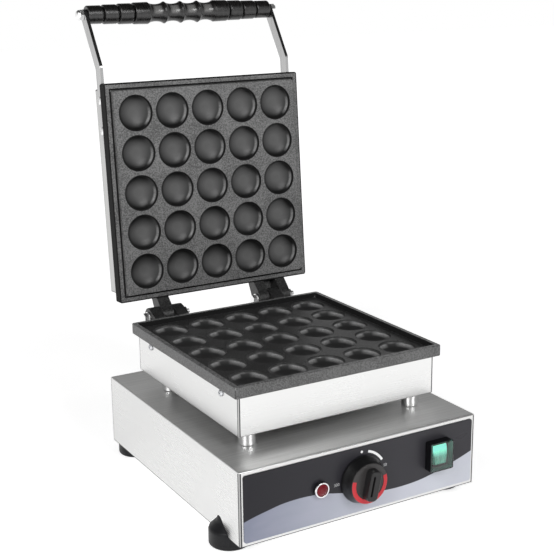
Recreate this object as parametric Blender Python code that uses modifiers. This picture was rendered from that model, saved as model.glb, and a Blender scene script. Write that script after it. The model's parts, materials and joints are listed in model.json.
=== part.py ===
"""Countertop maker for 25 small round waffles, lid open.

A stainless cabinet on rubber feet carries a shallow casing on four round spacers.
The casing holds the lower cast plate. The lid is a second cast plate under its own
casing, hung on two cast hinges and lifted by a turned grip between two steel arms.

Lengths are metres. Every place below is written in the cabinet's own frame: X to the
right, Y from the front panel to the back, Z up from the table. The lid's pieces are
written as they lie when the lid is closed, and their empty then opens them.
"""

import math

import bmesh
import bpy
from mathutils import Matrix, Vector

MM = 0.001

# Clearances
SEAT_GAP = 0.3 * MM          # between two pieces that touch
RUNNING_GAP = 0.25 * MM      # round a shaft, on the radius
SIDE_PLAY = 0.5 * MM         # on each side of a hinge tongue
OVERRUN = 3 * MM             # how far a cutter runs past what it cuts
SCREW_CROWN_SHARE = 0.65     # flat of a screw's head, as a share of its width
MERGE = 0.01 * MM            # points closer than this are one point
SHARP_EDGE = math.radians(35)

# Facets
ROUND_STEPS = 14             # large turned pieces
SMALL_STEPS = 10             # pins, bushes and nuts
SCREW_STEPS = 6              # screws and their holes
BOWL_STEPS = 12              # one cavity
HEX = 6
CORNER_STEPS = 2             # facets round a rounded corner
EDGE_STEPS = 1               # facets across a softened edge
TUBE_SIDES_RESOLUTION = 2    # eight sides round a tube

# Cabinet, folded from one sheet, open below
CABINET_WIDTH = 300 * MM
CABINET_DEPTH = 330 * MM
CABINET_HEIGHT = 82.5 * MM
SHEET = 1.0 * MM
CABINET_BEND = 2.0 * MM
CABINET_CLEARANCE = 16 * MM  # from the table to the panels' lower edge

# Rubber feet, turned; they bulge through notches, the front pair at the sides
FOOT_RADIUS = 22.5 * MM
FOOT_TOP_RADIUS = 9.8 * MM
FOOT_NECK_RADIUS = 14.5 * MM
FOOT_HEIGHT = 36 * MM
FOOT_NECK_HEIGHT = 26 * MM
FOOT_WALL_HEIGHT = 18.5 * MM
FOOT_EDGE = 2.5 * MM
FOOT_RECESS_RADIUS = 7 * MM
FOOT_RECESS_DEPTH = 12 * MM
FOOT_FRONT_FROM_SIDE = 12 * MM
FOOT_FRONT_FROM_FRONT = 45 * MM
FOOT_REAR_FROM_SIDE = 25 * MM
FOOT_REAR_FROM_BACK = 15 * MM
NOTCH_CLEARANCE = 1.0 * MM
FOOT_SCREW_RADIUS = 2.4 * MM
FOOT_SCREW_HEAD_RADIUS = 5 * MM
FOOT_SCREW_HEAD = 3.5 * MM
FOOT_SCREW_END = 3 * MM      # thread that shows above the cabinet floor

# Cabinet floor, a tray with its flange turned down
FLOOR_FLANGE = 8 * MM
VENT_LENGTH = 60 * MM
VENT_WIDTH = 4 * MM
VENT_PITCH = 12 * MM
VENT_COUNT = 5

# Spacers between the cabinet top and the lower casing
SPACER_HEIGHT = 15.4 * MM
SPACER_RADIUS = 9.8 * MM
SPACER_FROM_SIDE = 19 * MM   # from the casing's walls to a spacer's axis
SPACER_FROM_FRONT = 17 * MM
SPACER_FROM_BACK = 43 * MM
SPACER_BOLT_RADIUS = 3 * MM
SPACER_BOLT_HEAD_RADIUS = 5.5 * MM
SPACER_BOLT_HEAD = 3.5 * MM
SPACER_BOLT_END = 6 * MM     # thread below the cabinet top

# Lower casing, an open tray
CASING_WIDTH = 250 * MM
CASING_DEPTH = 250 * MM
CASING_FRONT_Y = 45 * MM
CASING_HEIGHT = 44.8 * MM
CASING_BEND = 1.5 * MM

# Cast plates
PLATE_OVERHANG = 6 * MM      # past the casing on every side
PLATE_CORNER = 2.5 * MM
PLATE_EDGE = 0.8 * MM
RIM_THICKNESS = 12.8 * MM
RIM_WIDTH = 5.6 * MM
RECESS_DEPTH = 5.6 * MM
RECESS_CORNER = 3.4 * MM
DRAFT = math.radians(16)      # slope of the recess's walls and of the land's
PLATE_BODY_DEPTH = 12 * MM   # the part of a plate that sits inside its casing
PLATE_BODY_INSET = 0.8 * MM  # from the casing's inner wall
PLATE_BODY_CORNER = 3 * MM
PARTING_GAP = 0.3 * MM       # between the closed plates

# Cavities, five by five in both plates
CAVITY_COUNT = 5
CAVITY_MARGIN = 5.25 * MM    # from the casing's walls to the outermost cells
CAVITY_SPACING = 5.5 * MM    # left between two cavities
CAVITY_DEPTH = 9 * MM
CAVITY_LIP = 0.4 * MM        # upright wall at a cavity's mouth
BOWL_RINGS = 3

# Lid plate
LID_OVERHANG = 7 * MM        # past the casing on every side
BORDER_THICKNESS = 14 * MM
LAND_HEIGHT = 4.8 * MM       # how far the cavity land stands proud of the border
LAND_PLAY = 0.9 * MM         # between the land and the lower rim
LAND_CORNER = 3 * MM

# Lid casing
LID_CASING_HEIGHT = 32.5 * MM

# Hinges: a fork on one plate and a tongue on the other, left and right swapped
HINGE_X = 76 * MM
HINGE_BACK = 22.5 * MM       # axis behind the plates' back edge
HINGE_DROP = 4.2 * MM        # axis below the lower plate's top
HINGE_BOSS_RADIUS = 11.5 * MM
TONGUE_WIDTH = 16 * MM
LUG_WIDTH = 14 * MM
LUG_ROOT = 4 * MM            # how far a lug runs into its plate
LUG_SHOULDER = 0.6 * MM      # lug face set back from the plate's faces
LID_LUG_RISE = 4 * MM        # lid's lugs past the border's outer face
BRIDGE_THICKNESS = 4 * MM    # web between the two lugs of the lid's fork
BRIDGE_REACH_SHARE = 0.6     # how far it runs down the slope of the lugs
BOSS_FACETS = 6
LOWER_BOSS_TOP = math.radians(125)    # where the lower web leaves the boss
LID_BOSS_LOW = math.radians(-160)     # where the lid's web leaves it, below and above
LID_BOSS_TOP = math.radians(60)
HINGE_BOLT_RADIUS = 3 * MM
HINGE_HEAD_RADIUS = 6 * MM
HINGE_HEAD = 5 * MM
HINGE_WASHER_RADIUS = 7 * MM
HINGE_WASHER = 1.5 * MM
HINGE_NUT = 5.5 * MM
HINGE_THREAD_END = 4 * MM
LID_OPEN = math.radians(94.5)

# Screws that hold each casing to its plate
CASING_SCREW_RADIUS = 2 * MM
CASING_SCREW_HEAD_RADIUS = 4 * MM
CASING_SCREW_HEAD = 2.6 * MM
CASING_SCREW_REACH = 8 * MM  # into the plate's body
CASING_SCREW_DROP = 6.5 * MM # below the rim, or above the border on the lid
CASING_SCREW_FROM_END = 36.5 * MM

# Handle arms, flat bars with one bend
ARM_THICKNESS = 4 * MM
ARM_WIDTH = 13.6 * MM
ARM_LAP = 62 * MM            # length that lies against the lid casing
ARM_BEND_OUT = 19.5 * MM     # from the plates' front edge to the bend
ARM_RISE = math.radians(29)
ARM_UPPER = 72 * MM
ARM_END_FACETS = 6
ARM_SCREW_RADIUS = 2.5 * MM
ARM_SCREW_HEAD_RADIUS = 5 * MM
ARM_SCREW_HEAD = 3 * MM
ARM_SCREW_SPACING = 36 * MM
ARM_SCREW_FROM_END = 13 * MM

# Grip, rod and cap nuts
ROD_RADIUS = 4 * MM
GRIP_END_RADIUS = 11 * MM
GRIP_BARREL_SWELL = 0.8 * MM # each barrel is larger than the one outside it
BARREL_COUNT = 4             # on each side of the scallops
BARREL_LENGTH = 19.8 * MM
GROOVE_WIDTH = 2.4 * MM
GROOVE_DEPTH = 1.8 * MM
SCALLOP_COUNT = 4
SCALLOP_PEAK_RADIUS = 13.6 * MM
SCALLOP_VALLEY_RADIUS = 10.4 * MM
SCALLOP_FACETS = 3
GRIP_CHAMFER = 1.2 * MM
CAP_NUT_RADIUS = 7.2 * MM
CAP_NUT_HEX = 4.5 * MM
CAP_NUT_DOME = 4 * MM
CAP_NUT_BORE = 5.5 * MM
ROD_END = 5 * MM             # rod past the arm's outer face

# Printed fascia plate
FASCIA_SHEET = 0.8 * MM
FASCIA_SIDE_MARGIN = 4.6 * MM
FASCIA_TOP_MARGIN = 4.6 * MM
FASCIA_BOTTOM_MARGIN = 3.8 * MM
FASCIA_CORNER = 3 * MM

# Thermostat and its knob; heights are from the panels' lower edge
KNOB_X = -3 * MM
KNOB_Z = 41.5 * MM
KNOB_BASE_RADIUS = 26.5 * MM
KNOB_FACE_RADIUS = 22.5 * MM
KNOB_HEIGHT = 15 * MM
KNOB_SKIRT = 2 * MM
KNOB_EDGE = 1 * MM
KNOB_CLEARANCE = 0.8 * MM
KNOB_BORE_DEPTH = 11 * MM
KNOB_BAR_WIDTH = 15 * MM
KNOB_BAR_LENGTH = 41 * MM
KNOB_BAR_HEIGHT = 9 * MM
KNOB_BAR_EDGE = 3 * MM
KNOB_TURN = math.radians(-12)
SPINDLE_RADIUS = 3 * MM
SPINDLE_HOLE_RADIUS = 5.5 * MM
THERMOSTAT_WIDTH = 38 * MM
THERMOSTAT_HEIGHT = 32 * MM
THERMOSTAT_DEPTH = 26 * MM
THERMOSTAT_CORNER = 2 * MM
SPINDLE_IN_BODY = 8 * MM

# Capillary from the thermostat to the sensor bulb under the lower plate
CAPILLARY_RADIUS = 1 * MM
BULB_RADIUS = 3 * MM
BULB_LENGTH = 60 * MM
CAPILLARY_BEND = 8 * MM
CAPILLARY_RUN = 12 * MM      # straight out of the thermostat
PATH_STEPS = 3

# Indicator lamp
LAMP_FROM_KNOB = 52 * MM
LAMP_Z = 42.5 * MM
LAMP_BEZEL_RADIUS = 8.8 * MM
LAMP_BEZEL_HEIGHT = 4.6 * MM
LAMP_LENS_RADIUS = 6.4 * MM
LAMP_LENS_DOME = 2 * MM
LENS_RING_SHARE = 0.6        # where the dome's one ring lies, of its radius
LENS_RISE_SHARE = 0.7        # and how high, of its rise
LAMP_SEAT = 2.2 * MM         # depth of the lens seat in the bezel
LAMP_NECK_RADIUS = 6 * MM
LAMP_NECK_LENGTH = 22 * MM

# Rocker switch under its clear cover
SWITCH_FROM_SIDE = 54 * MM   # from the cabinet's right side
SWITCH_Z = 48 * MM
SWITCH_FLANGE_WIDTH = 27 * MM
SWITCH_FLANGE_HEIGHT = 30 * MM
SWITCH_FLANGE = 3 * MM
SWITCH_BODY_WIDTH = 25.4 * MM
SWITCH_BODY_HEIGHT = 28.4 * MM
SWITCH_BODY_DEPTH = 24 * MM
SWITCH_POCKET_WIDTH = 20.8 * MM
SWITCH_POCKET_HEIGHT = 26 * MM
ROCKER_PIVOT_DEPTH = 2 * MM  # pivot behind the fascia's face
ROCKER_RIDGE = 11 * MM       # ridge in front of the pivot
ROCKER_END = 8.2 * MM
ROCKER_HALF_HEIGHT = 11.6 * MM
ROCKER_HEEL = 1.5 * MM
ROCKER_HEEL_HALF_HEIGHT = 11 * MM
ROCKER_BACK = 2.5 * MM
ROCKER_BACK_HALF_HEIGHT = 3 * MM
ROCKER_TILT = math.radians(10)
AXLE_RADIUS = 1.4 * MM
AXLE_REACH = 1.0 * MM        # into each side of the housing
POCKET_FLOOR_GAP = 0.7 * MM
COVER_HEIGHT = 12.2 * MM
COVER_WALL = 1.2 * MM
COVER_BEND = 1.5 * MM

# Terminal block, cable gland and the bush that carries the wires up
TERMINAL_WIDTH = 44 * MM
TERMINAL_DEPTH = 20 * MM
TERMINAL_HEIGHT = 17 * MM
TERMINAL_POLES = 3
TERMINAL_EDGE = 1.2 * MM
TERMINAL_BORE_RADIUS = 2.2 * MM
TERMINAL_FROM_BACK = 60 * MM
GLAND_FROM_SIDE = 55 * MM    # from the cabinet's left side
GLAND_Z = 42 * MM
GLAND_RADIUS = 11 * MM
GLAND_NECK_RADIUS = 8 * MM
GLAND_BORE_RADIUS = 4.5 * MM
GLAND_OUTER = 14 * MM
GLAND_TAPER = 5.5 * MM
GLAND_TIP_RADIUS = 7.5 * MM
GLAND_NUT = 5 * MM
BUSH_RADIUS = 9 * MM
BUSH_BORE_RADIUS = 6 * MM
BUSH_LIP = 2 * MM            # lip that stands past each sheet
BUSH_LIP_RADIUS = 11 * MM
LID_BUSH_X = 30 * MM
LID_BUSH_RADIUS = 4 * MM
LID_BUSH_BORE_RADIUS = 2 * MM

# Tubular heaters and their clamps
HEATER_RADIUS = 4 * MM
HEATER_LEGS = 4
HEATER_SPACING = 60 * MM
HEATER_MARGIN = 32 * MM      # from the casing's front and back
CLAMP_WIDTH = 18 * MM
CLAMP_THICKNESS = 3 * MM
CLAMP_MARGIN = 12 * MM
CLAMP_CORNER = 1.5 * MM

# Places worked out from the sizes above
CABINET_TOP = CABINET_CLEARANCE + CABINET_HEIGHT
LAMP_X = KNOB_X - LAMP_FROM_KNOB
SWITCH_X = CABINET_WIDTH / 2 - SWITCH_FROM_SIDE
GLAND_X = GLAND_FROM_SIDE - CABINET_WIDTH / 2
KNOB_AXIS_Z = CABINET_CLEARANCE + KNOB_Z
LAMP_AXIS_Z = CABINET_CLEARANCE + LAMP_Z
SWITCH_AXIS_Z = CABINET_CLEARANCE + SWITCH_Z
GLAND_AXIS_Z = CABINET_CLEARANCE + GLAND_Z
CASING_BOTTOM = CABINET_TOP + SPACER_HEIGHT
CASING_TOP = CASING_BOTTOM + CASING_HEIGHT
CASING_BACK_Y = CASING_FRONT_Y + CASING_DEPTH
CASING_MIDDLE_Y = CASING_FRONT_Y + CASING_DEPTH / 2
RIM_BOTTOM = CASING_TOP + SEAT_GAP
PLATE_TOP = RIM_BOTTOM + RIM_THICKNESS
PLATE_WIDTH = CASING_WIDTH + 2 * PLATE_OVERHANG
PLATE_DEPTH = CASING_DEPTH + 2 * PLATE_OVERHANG
PLATE_BACK_Y = CASING_BACK_Y + PLATE_OVERHANG
CAVITY_PITCH = (min(CASING_WIDTH, CASING_DEPTH) - 2 * CAVITY_MARGIN) / CAVITY_COUNT
CAVITY_RADIUS = (CAVITY_PITCH - CAVITY_SPACING) / 2
BODY_WIDTH = CASING_WIDTH - 2 * (SHEET + PLATE_BODY_INSET)
BODY_DEPTH = CASING_DEPTH - 2 * (SHEET + PLATE_BODY_INSET)
BODY_BOTTOM = RIM_BOTTOM - PLATE_BODY_DEPTH
RECESS_FLOOR = PLATE_TOP - RECESS_DEPTH
BORDER_BOTTOM = PLATE_TOP + PARTING_GAP
BORDER_TOP = BORDER_BOTTOM + BORDER_THICKNESS
LID_PLATE_WIDTH = CASING_WIDTH + 2 * LID_OVERHANG
LID_PLATE_DEPTH = CASING_DEPTH + 2 * LID_OVERHANG
LAND_FACE = BORDER_BOTTOM - LAND_HEIGHT
LID_BODY_TOP = BORDER_TOP + PLATE_BODY_DEPTH
LID_CASING_BOTTOM = BORDER_TOP + SEAT_GAP
LID_CASING_TOP = LID_CASING_BOTTOM + LID_CASING_HEIGHT
CASING_SCREW_FRONT_Y = CASING_FRONT_Y + CASING_SCREW_FROM_END
CASING_SCREW_REAR_Y = CASING_BACK_Y - CASING_SCREW_FROM_END
HINGE = Vector((0, PLATE_BACK_Y + HINGE_BACK, PLATE_TOP - HINGE_DROP))
LID_LUG_TOP = BORDER_TOP + LID_LUG_RISE - HINGE.z
LUG_INNER = TONGUE_WIDTH / 2 + SIDE_PLAY
LUG_OUTER = LUG_INNER + LUG_WIDTH
FLOOR_BOTTOM = FOOT_HEIGHT + SEAT_GAP
FLOOR_TOP = FLOOR_BOTTOM + SHEET
FASCIA_FACE = -(SEAT_GAP + FASCIA_SHEET)
ARM_BEND_Y = CASING_FRONT_Y - PLATE_OVERHANG - ARM_BEND_OUT
ARM_Z = LID_CASING_BOTTOM + ARM_WIDTH / 2 + SEAT_GAP
ARM_FACE_X = CASING_WIDTH / 2 + SEAT_GAP
ARM_OUTER_X = ARM_FACE_X + ARM_THICKNESS
GRIP_Y = ARM_BEND_Y - ARM_UPPER * math.cos(ARM_RISE)
GRIP_Z = ARM_Z + ARM_UPPER * math.sin(ARM_RISE)
GRIP_HALF_LENGTH = ARM_FACE_X - SEAT_GAP
SCALLOP_LENGTH = 2 * (GRIP_HALF_LENGTH - BARREL_COUNT * BARREL_LENGTH) / SCALLOP_COUNT
KNOB_BACK_Y = FASCIA_FACE - KNOB_CLEARANCE
KNOB_FRONT_Y = KNOB_BACK_Y - KNOB_HEIGHT - KNOB_BAR_HEIGHT
SWITCH_BACK_Y = FASCIA_FACE - SEAT_GAP

PARTS_NAME = "double_bubble_waffle_maker"
FACING_FRONT = (math.pi / 2, 0, 0)           # local Z towards the user
FACING_BACK = (-math.pi / 2, 0, 0)           # local Z towards the wall
FACING_DOWN = (math.pi, 0, 0)
FACING_RIGHT = (0, math.pi / 2, 0)
SIDE_VIEW = (math.pi / 2, 0, math.pi / 2)    # an outline in Y and Z, as thick as X


def opened(y, z):
    """Where a point of the closed lid stands when the lid is open."""
    back = y - HINGE.y
    up = z - HINGE.z
    cosine = math.cos(LID_OPEN)
    sine = math.sin(LID_OPEN)
    return HINGE.y + back * cosine + up * sine, HINGE.z - back * sine + up * cosine


# The origin lies on the table under the middle of the whole, from the knob to the grip
GRIP_OPEN_Y = opened(GRIP_Y, GRIP_Z)[0]
ORIGIN_Y = (KNOB_FRONT_Y + GRIP_OPEN_Y + SCALLOP_PEAK_RADIUS) / 2


# Scene

for old in list(bpy.data.objects):
    bpy.data.objects.remove(old, do_unlink=True)

parts = bpy.data.collections.new(PARTS_NAME)
cutters = bpy.data.collections.new("cutters")
bpy.context.scene.collection.children.link(parts)
bpy.context.scene.collection.children.link(cutters)

assembly = bpy.data.objects.new("assembly", None)
assembly.location = (0, -ORIGIN_Y, 0)
parts.objects.link(assembly)

lid_pivot = bpy.data.objects.new("lid_pivot", None)
lid_pivot.parent = assembly
lid_pivot.location = HINGE
lid_pivot.rotation_euler = (-LID_OPEN, 0, 0)
parts.objects.link(lid_pivot)

FRAME_ORIGIN = {assembly.name: Vector((0, 0, 0)), lid_pivot.name: HINGE}


def finish(name, color, roughness, metallic=0.0, transmission=0.0):
    """A Principled material in one plain colour."""
    material = bpy.data.materials.new(name)
    material.use_nodes = True
    shader = material.node_tree.nodes["Principled BSDF"]
    shader.inputs["Base Color"].default_value = (*color, 1.0)
    shader.inputs["Roughness"].default_value = roughness
    shader.inputs["Metallic"].default_value = metallic
    shader.inputs["Transmission Weight"].default_value = transmission
    return material


stainless = finish("stainless", (0.72, 0.72, 0.72), 0.3, metallic=1.0)
polished_steel = finish("polished_steel", (0.8, 0.8, 0.8), 0.15, metallic=1.0)
arm_steel = finish("arm_steel", (0.6, 0.6, 0.6), 0.35, metallic=1.0)
zinc = finish("zinc", (0.65, 0.66, 0.68), 0.3, metallic=1.0)
plate_coating = finish("plate_coating", (0.035, 0.035, 0.037), 0.45)
rubber = finish("rubber", (0.02, 0.02, 0.02), 0.7)
black_plastic = finish("black_plastic", (0.015, 0.015, 0.017), 0.35)
fascia_print = finish("fascia_print", (0.05, 0.048, 0.06), 0.3)
turned_grip = finish("turned_grip", (0.012, 0.011, 0.011), 0.25)
chrome = finish("chrome", (0.85, 0.85, 0.85), 0.08, metallic=1.0)
red_lens = finish("red_lens", (0.25, 0.005, 0.012), 0.15, transmission=0.3)
green_rocker = finish("green_rocker", (0.03, 0.55, 0.33), 0.2, transmission=0.3)
clear_cover = finish("clear_cover", (0.9, 0.93, 0.92), 0.1, transmission=0.9)
ceramic = finish("ceramic", (0.8, 0.78, 0.72), 0.5)
copper = finish("copper", (0.7, 0.35, 0.2), 0.3, metallic=1.0)


# Modelling helpers


def place(piece, frame, at, turn=(0, 0, 0)):
    """Hang a piece on a frame; its place is given in the cabinet's frame."""
    piece.parent = frame
    piece.location = Vector(at) - FRAME_ORIGIN[frame.name]
    piece.rotation_euler = turn


def add_part(name, mesh, material, frame, at, turn=(0, 0, 0)):
    part = bpy.data.objects.new(name, mesh)
    part.data.materials.append(material)
    parts.objects.link(part)
    place(part, frame, at, turn)
    return part


def add_cutter(name, mesh, frame, at, turn=(0, 0, 0)):
    cutter = bpy.data.objects.new(name, mesh)
    cutter.hide_render = True
    cutter.display_type = "WIRE"
    cutters.objects.link(cutter)
    place(cutter, frame, at, turn)
    return cutter


def combine(part, tool, operation):
    step = part.modifiers.new(tool.name, "BOOLEAN")
    step.operation = operation
    step.object = tool


def cut(part, *tools):
    for tool in tools:
        combine(part, tool, "DIFFERENCE")


def join(part, *tools):
    for tool in tools:
        combine(part, tool, "UNION")


def block_mesh(name, width, depth, height, corner=0.0, edge=0.0):
    """A box centred on its origin; its upright corners and its other edges are rounded."""
    box = bmesh.new()
    bmesh.ops.create_cube(box, size=1.0)
    bmesh.ops.scale(box, vec=(width, depth, height), verts=box.verts)
    if corner:
        upright = [e for e in box.edges if abs(e.verts[0].co.z - e.verts[1].co.z) > height / 2]
        bmesh.ops.bevel(box, geom=upright, offset=corner, segments=CORNER_STEPS,
                        affect="EDGES", profile=0.5)
    if edge:
        level = [e for e in box.edges if e.verts[0].co.z * e.verts[1].co.z > 0]
        bmesh.ops.bevel(box, geom=level, offset=edge, segments=EDGE_STEPS,
                        affect="EDGES", profile=0.5)
    mesh = bpy.data.meshes.new(name)
    box.to_mesh(mesh)
    box.free()
    return mesh


def tray_mesh(name, width, depth, height, bend):
    """The outer skin of a folded box, centred on its origin and open below."""
    skin = bmesh.new()
    bmesh.ops.create_cube(skin, size=1.0)
    bmesh.ops.scale(skin, vec=(width, depth, height), verts=skin.verts)
    folded = [e for e in skin.edges if max(v.co.z for v in e.verts) > 0]
    bmesh.ops.bevel(skin, geom=folded, offset=bend, segments=EDGE_STEPS, affect="EDGES",
                    profile=0.5)
    lowest = min(v.co.z for v in skin.verts)
    mouth = [f for f in skin.faces if all(v.co.z - lowest < MERGE for v in f.verts)]
    bmesh.ops.delete(skin, geom=mouth, context="FACES")
    mesh = bpy.data.meshes.new(name)
    skin.to_mesh(mesh)
    skin.free()
    return mesh


def thicken(part, wall):
    """Give a skin its wall, inwards from the outer face."""
    step = part.modifiers.new("wall", "SOLIDIFY")
    step.thickness = wall
    step.offset = -1
    step.use_even_offset = True


def smooth_mesh(guide):
    """The mesh that a guide object shows, welded and shaded smooth, without the guide."""
    bpy.context.scene.collection.objects.link(guide)
    bpy.context.view_layer.update()
    seen = guide.evaluated_get(bpy.context.evaluated_depsgraph_get())
    mesh = bpy.data.meshes.new_from_object(seen)
    bpy.data.objects.remove(guide, do_unlink=True)
    shape = bmesh.new()
    shape.from_mesh(mesh)
    bmesh.ops.remove_doubles(shape, verts=shape.verts, dist=MERGE)
    shape.to_mesh(mesh)
    shape.free()
    mesh.shade_smooth()
    mesh.set_sharp_from_angle(angle=SHARP_EDGE)
    return mesh


def turned_mesh(name, points, steps, closed=False):
    """A turned shape from its profile: radius and height, from the top down the outer side."""
    profile = bpy.data.meshes.new(name)
    edges = [(i, i + 1) for i in range(len(points) - 1)]
    if closed:
        edges.append((len(points) - 1, 0))
    profile.from_pydata([(radius, 0, height) for radius, height in points], edges, [])
    guide = bpy.data.objects.new(name, profile)
    step = guide.modifiers.new("turned", "SCREW")
    step.axis = "Z"
    step.angle = 2 * math.pi
    step.steps = steps
    step.render_steps = steps
    step.use_merge_vertices = True
    step.merge_threshold = MERGE
    return smooth_mesh(guide)


def turned_part(name, points, steps, material, frame, at, turn=(0, 0, 0), closed=False):
    return add_part(name, turned_mesh(name, points, steps, closed), material, frame, at, turn)


def turned_cutter(name, points, steps, frame, at, turn=(0, 0, 0)):
    return add_cutter(name, turned_mesh(name, points, steps), frame, at, turn)


def bore(name, radius, length, frame, at, turn=(0, 0, 0), steps=SMALL_STEPS):
    """A round cutter, centred on its place and along its own Z."""
    points = [(0, length / 2), (radius, length / 2), (radius, -length / 2), (0, -length / 2)]
    return turned_cutter(name, points, steps, frame, at, turn)


def outline_mesh(name, points, thickness):
    """A flat outline in its own X and Y, as thick as its own Z."""
    curve = bpy.data.curves.new(name, "CURVE")
    curve.dimensions = "2D"
    curve.fill_mode = "BOTH"
    curve.extrude = thickness / 2
    spline = curve.splines.new("POLY")
    spline.points.add(len(points) - 1)
    for point, (x, y) in zip(spline.points, points):
        point.co = (x, y, 0, 1)
    spline.use_cyclic_u = True
    return smooth_mesh(bpy.data.objects.new(name, curve))


def arc(centre, radius, start, end, facets):
    """Points along an arc of a circle, both ends included."""
    angles = [start + (end - start) * i / facets for i in range(facets + 1)]
    return [(centre[0] + radius * math.cos(a), centre[1] + radius * math.sin(a)) for a in angles]


def rounded_path(corners, radius):
    """A route through corners, each rounded to one bend radius."""
    route = [corners[0]]
    for before, corner, after in zip(corners, corners[1:], corners[2:]):
        back = (before - corner).normalized()
        ahead = (after - corner).normalized()
        half = back.angle(ahead) / 2
        reach = radius / math.tan(half)
        centre = corner + (back + ahead).normalized() * radius / math.sin(half)
        first = corner + back * reach - centre
        last = corner + ahead * reach - centre
        for i in range(PATH_STEPS + 1):
            route.append(centre + first.slerp(last, i / PATH_STEPS) * radius)
    route.append(corners[-1])
    return route


def tube_mesh(name, route, radii):
    """A round tube through points, each with its own radius."""
    curve = bpy.data.curves.new(name, "CURVE")
    curve.dimensions = "3D"
    curve.bevel_depth = 1.0
    curve.bevel_resolution = TUBE_SIDES_RESOLUTION
    curve.use_fill_caps = True
    spline = curve.splines.new("POLY")
    spline.points.add(len(route) - 1)
    for point, place_on_route, radius in zip(spline.points, route, radii):
        point.co = (*place_on_route, 1)
        point.radius = radius
    return smooth_mesh(bpy.data.objects.new(name, curve))


def screw_profile(head_radius, head, shank_radius, length):
    """A round-headed screw: the head's seat is at height zero, the shank runs down."""
    return [
        (0, head),
        (head_radius * SCREW_CROWN_SHARE, head),
        (head_radius, 0),
        (shank_radius, 0),
        (shank_radius, -length),
        (0, -length),
    ]


def hex_profile(radius, height):
    return [(0, height), (radius, height), (radius, 0), (0, 0)]


# Feet


def foot_outline(clearance=0.0):
    """The outer side of a foot, top to bottom."""
    return [
        (FOOT_TOP_RADIUS + clearance, FOOT_HEIGHT),
        (FOOT_NECK_RADIUS + clearance, FOOT_NECK_HEIGHT),
        (FOOT_RADIUS + clearance, FOOT_WALL_HEIGHT),
        (FOOT_RADIUS + clearance, FOOT_EDGE),
        (FOOT_RADIUS - FOOT_EDGE + clearance, 0),
    ]


FOOT_PLACES = {
    "front_left": (-CABINET_WIDTH / 2 + FOOT_FRONT_FROM_SIDE, FOOT_FRONT_FROM_FRONT),
    "front_right": (CABINET_WIDTH / 2 - FOOT_FRONT_FROM_SIDE, FOOT_FRONT_FROM_FRONT),
    "rear_left": (-CABINET_WIDTH / 2 + FOOT_REAR_FROM_SIDE, CABINET_DEPTH - FOOT_REAR_FROM_BACK),
    "rear_right": (CABINET_WIDTH / 2 - FOOT_REAR_FROM_SIDE, CABINET_DEPTH - FOOT_REAR_FROM_BACK),
}


def build_feet():
    hole = FOOT_SCREW_RADIUS + RUNNING_GAP
    outline = foot_outline() + [
        (FOOT_RECESS_RADIUS, 0),
        (FOOT_RECESS_RADIUS, FOOT_RECESS_DEPTH),
        (hole, FOOT_RECESS_DEPTH),
        (hole, FOOT_HEIGHT),
    ]
    head_seat = FOOT_RECESS_DEPTH - SEAT_GAP
    length = FLOOR_TOP + FOOT_SCREW_END - head_seat
    screw = screw_profile(FOOT_SCREW_HEAD_RADIUS, FOOT_SCREW_HEAD, FOOT_SCREW_RADIUS, length)
    for corner, (x, y) in FOOT_PLACES.items():
        turned_part("foot_" + corner, outline, ROUND_STEPS, rubber, assembly, (x, y, 0), closed=True)
        turned_part("foot_screw_" + corner, screw, SCREW_STEPS, zinc, assembly,
                    (x, y, head_seat), FACING_DOWN)


# Cabinet


def foot_notches():
    """One cutter a foot: the foot's own form, a little larger."""
    top = FOOT_HEIGHT + OVERRUN
    outline = [(0, top), (FOOT_TOP_RADIUS + NOTCH_CLEARANCE, top)] + foot_outline(NOTCH_CLEARANCE)
    outline.append((FOOT_RADIUS + NOTCH_CLEARANCE, -OVERRUN))
    outline.append((0, -OVERRUN))
    return [
        turned_cutter("notch_" + corner, outline, ROUND_STEPS, assembly, (x, y, 0))
        for corner, (x, y) in FOOT_PLACES.items()
    ]


def spacer_places():
    reach = CASING_WIDTH / 2 - SPACER_FROM_SIDE
    front = CASING_FRONT_Y + SPACER_FROM_FRONT
    rear = CASING_BACK_Y - SPACER_FROM_BACK
    for end, y in (("front", front), ("rear", rear)):
        for side, x in (("left", -reach), ("right", reach)):
            yield end + "_" + side, x, y


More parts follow.
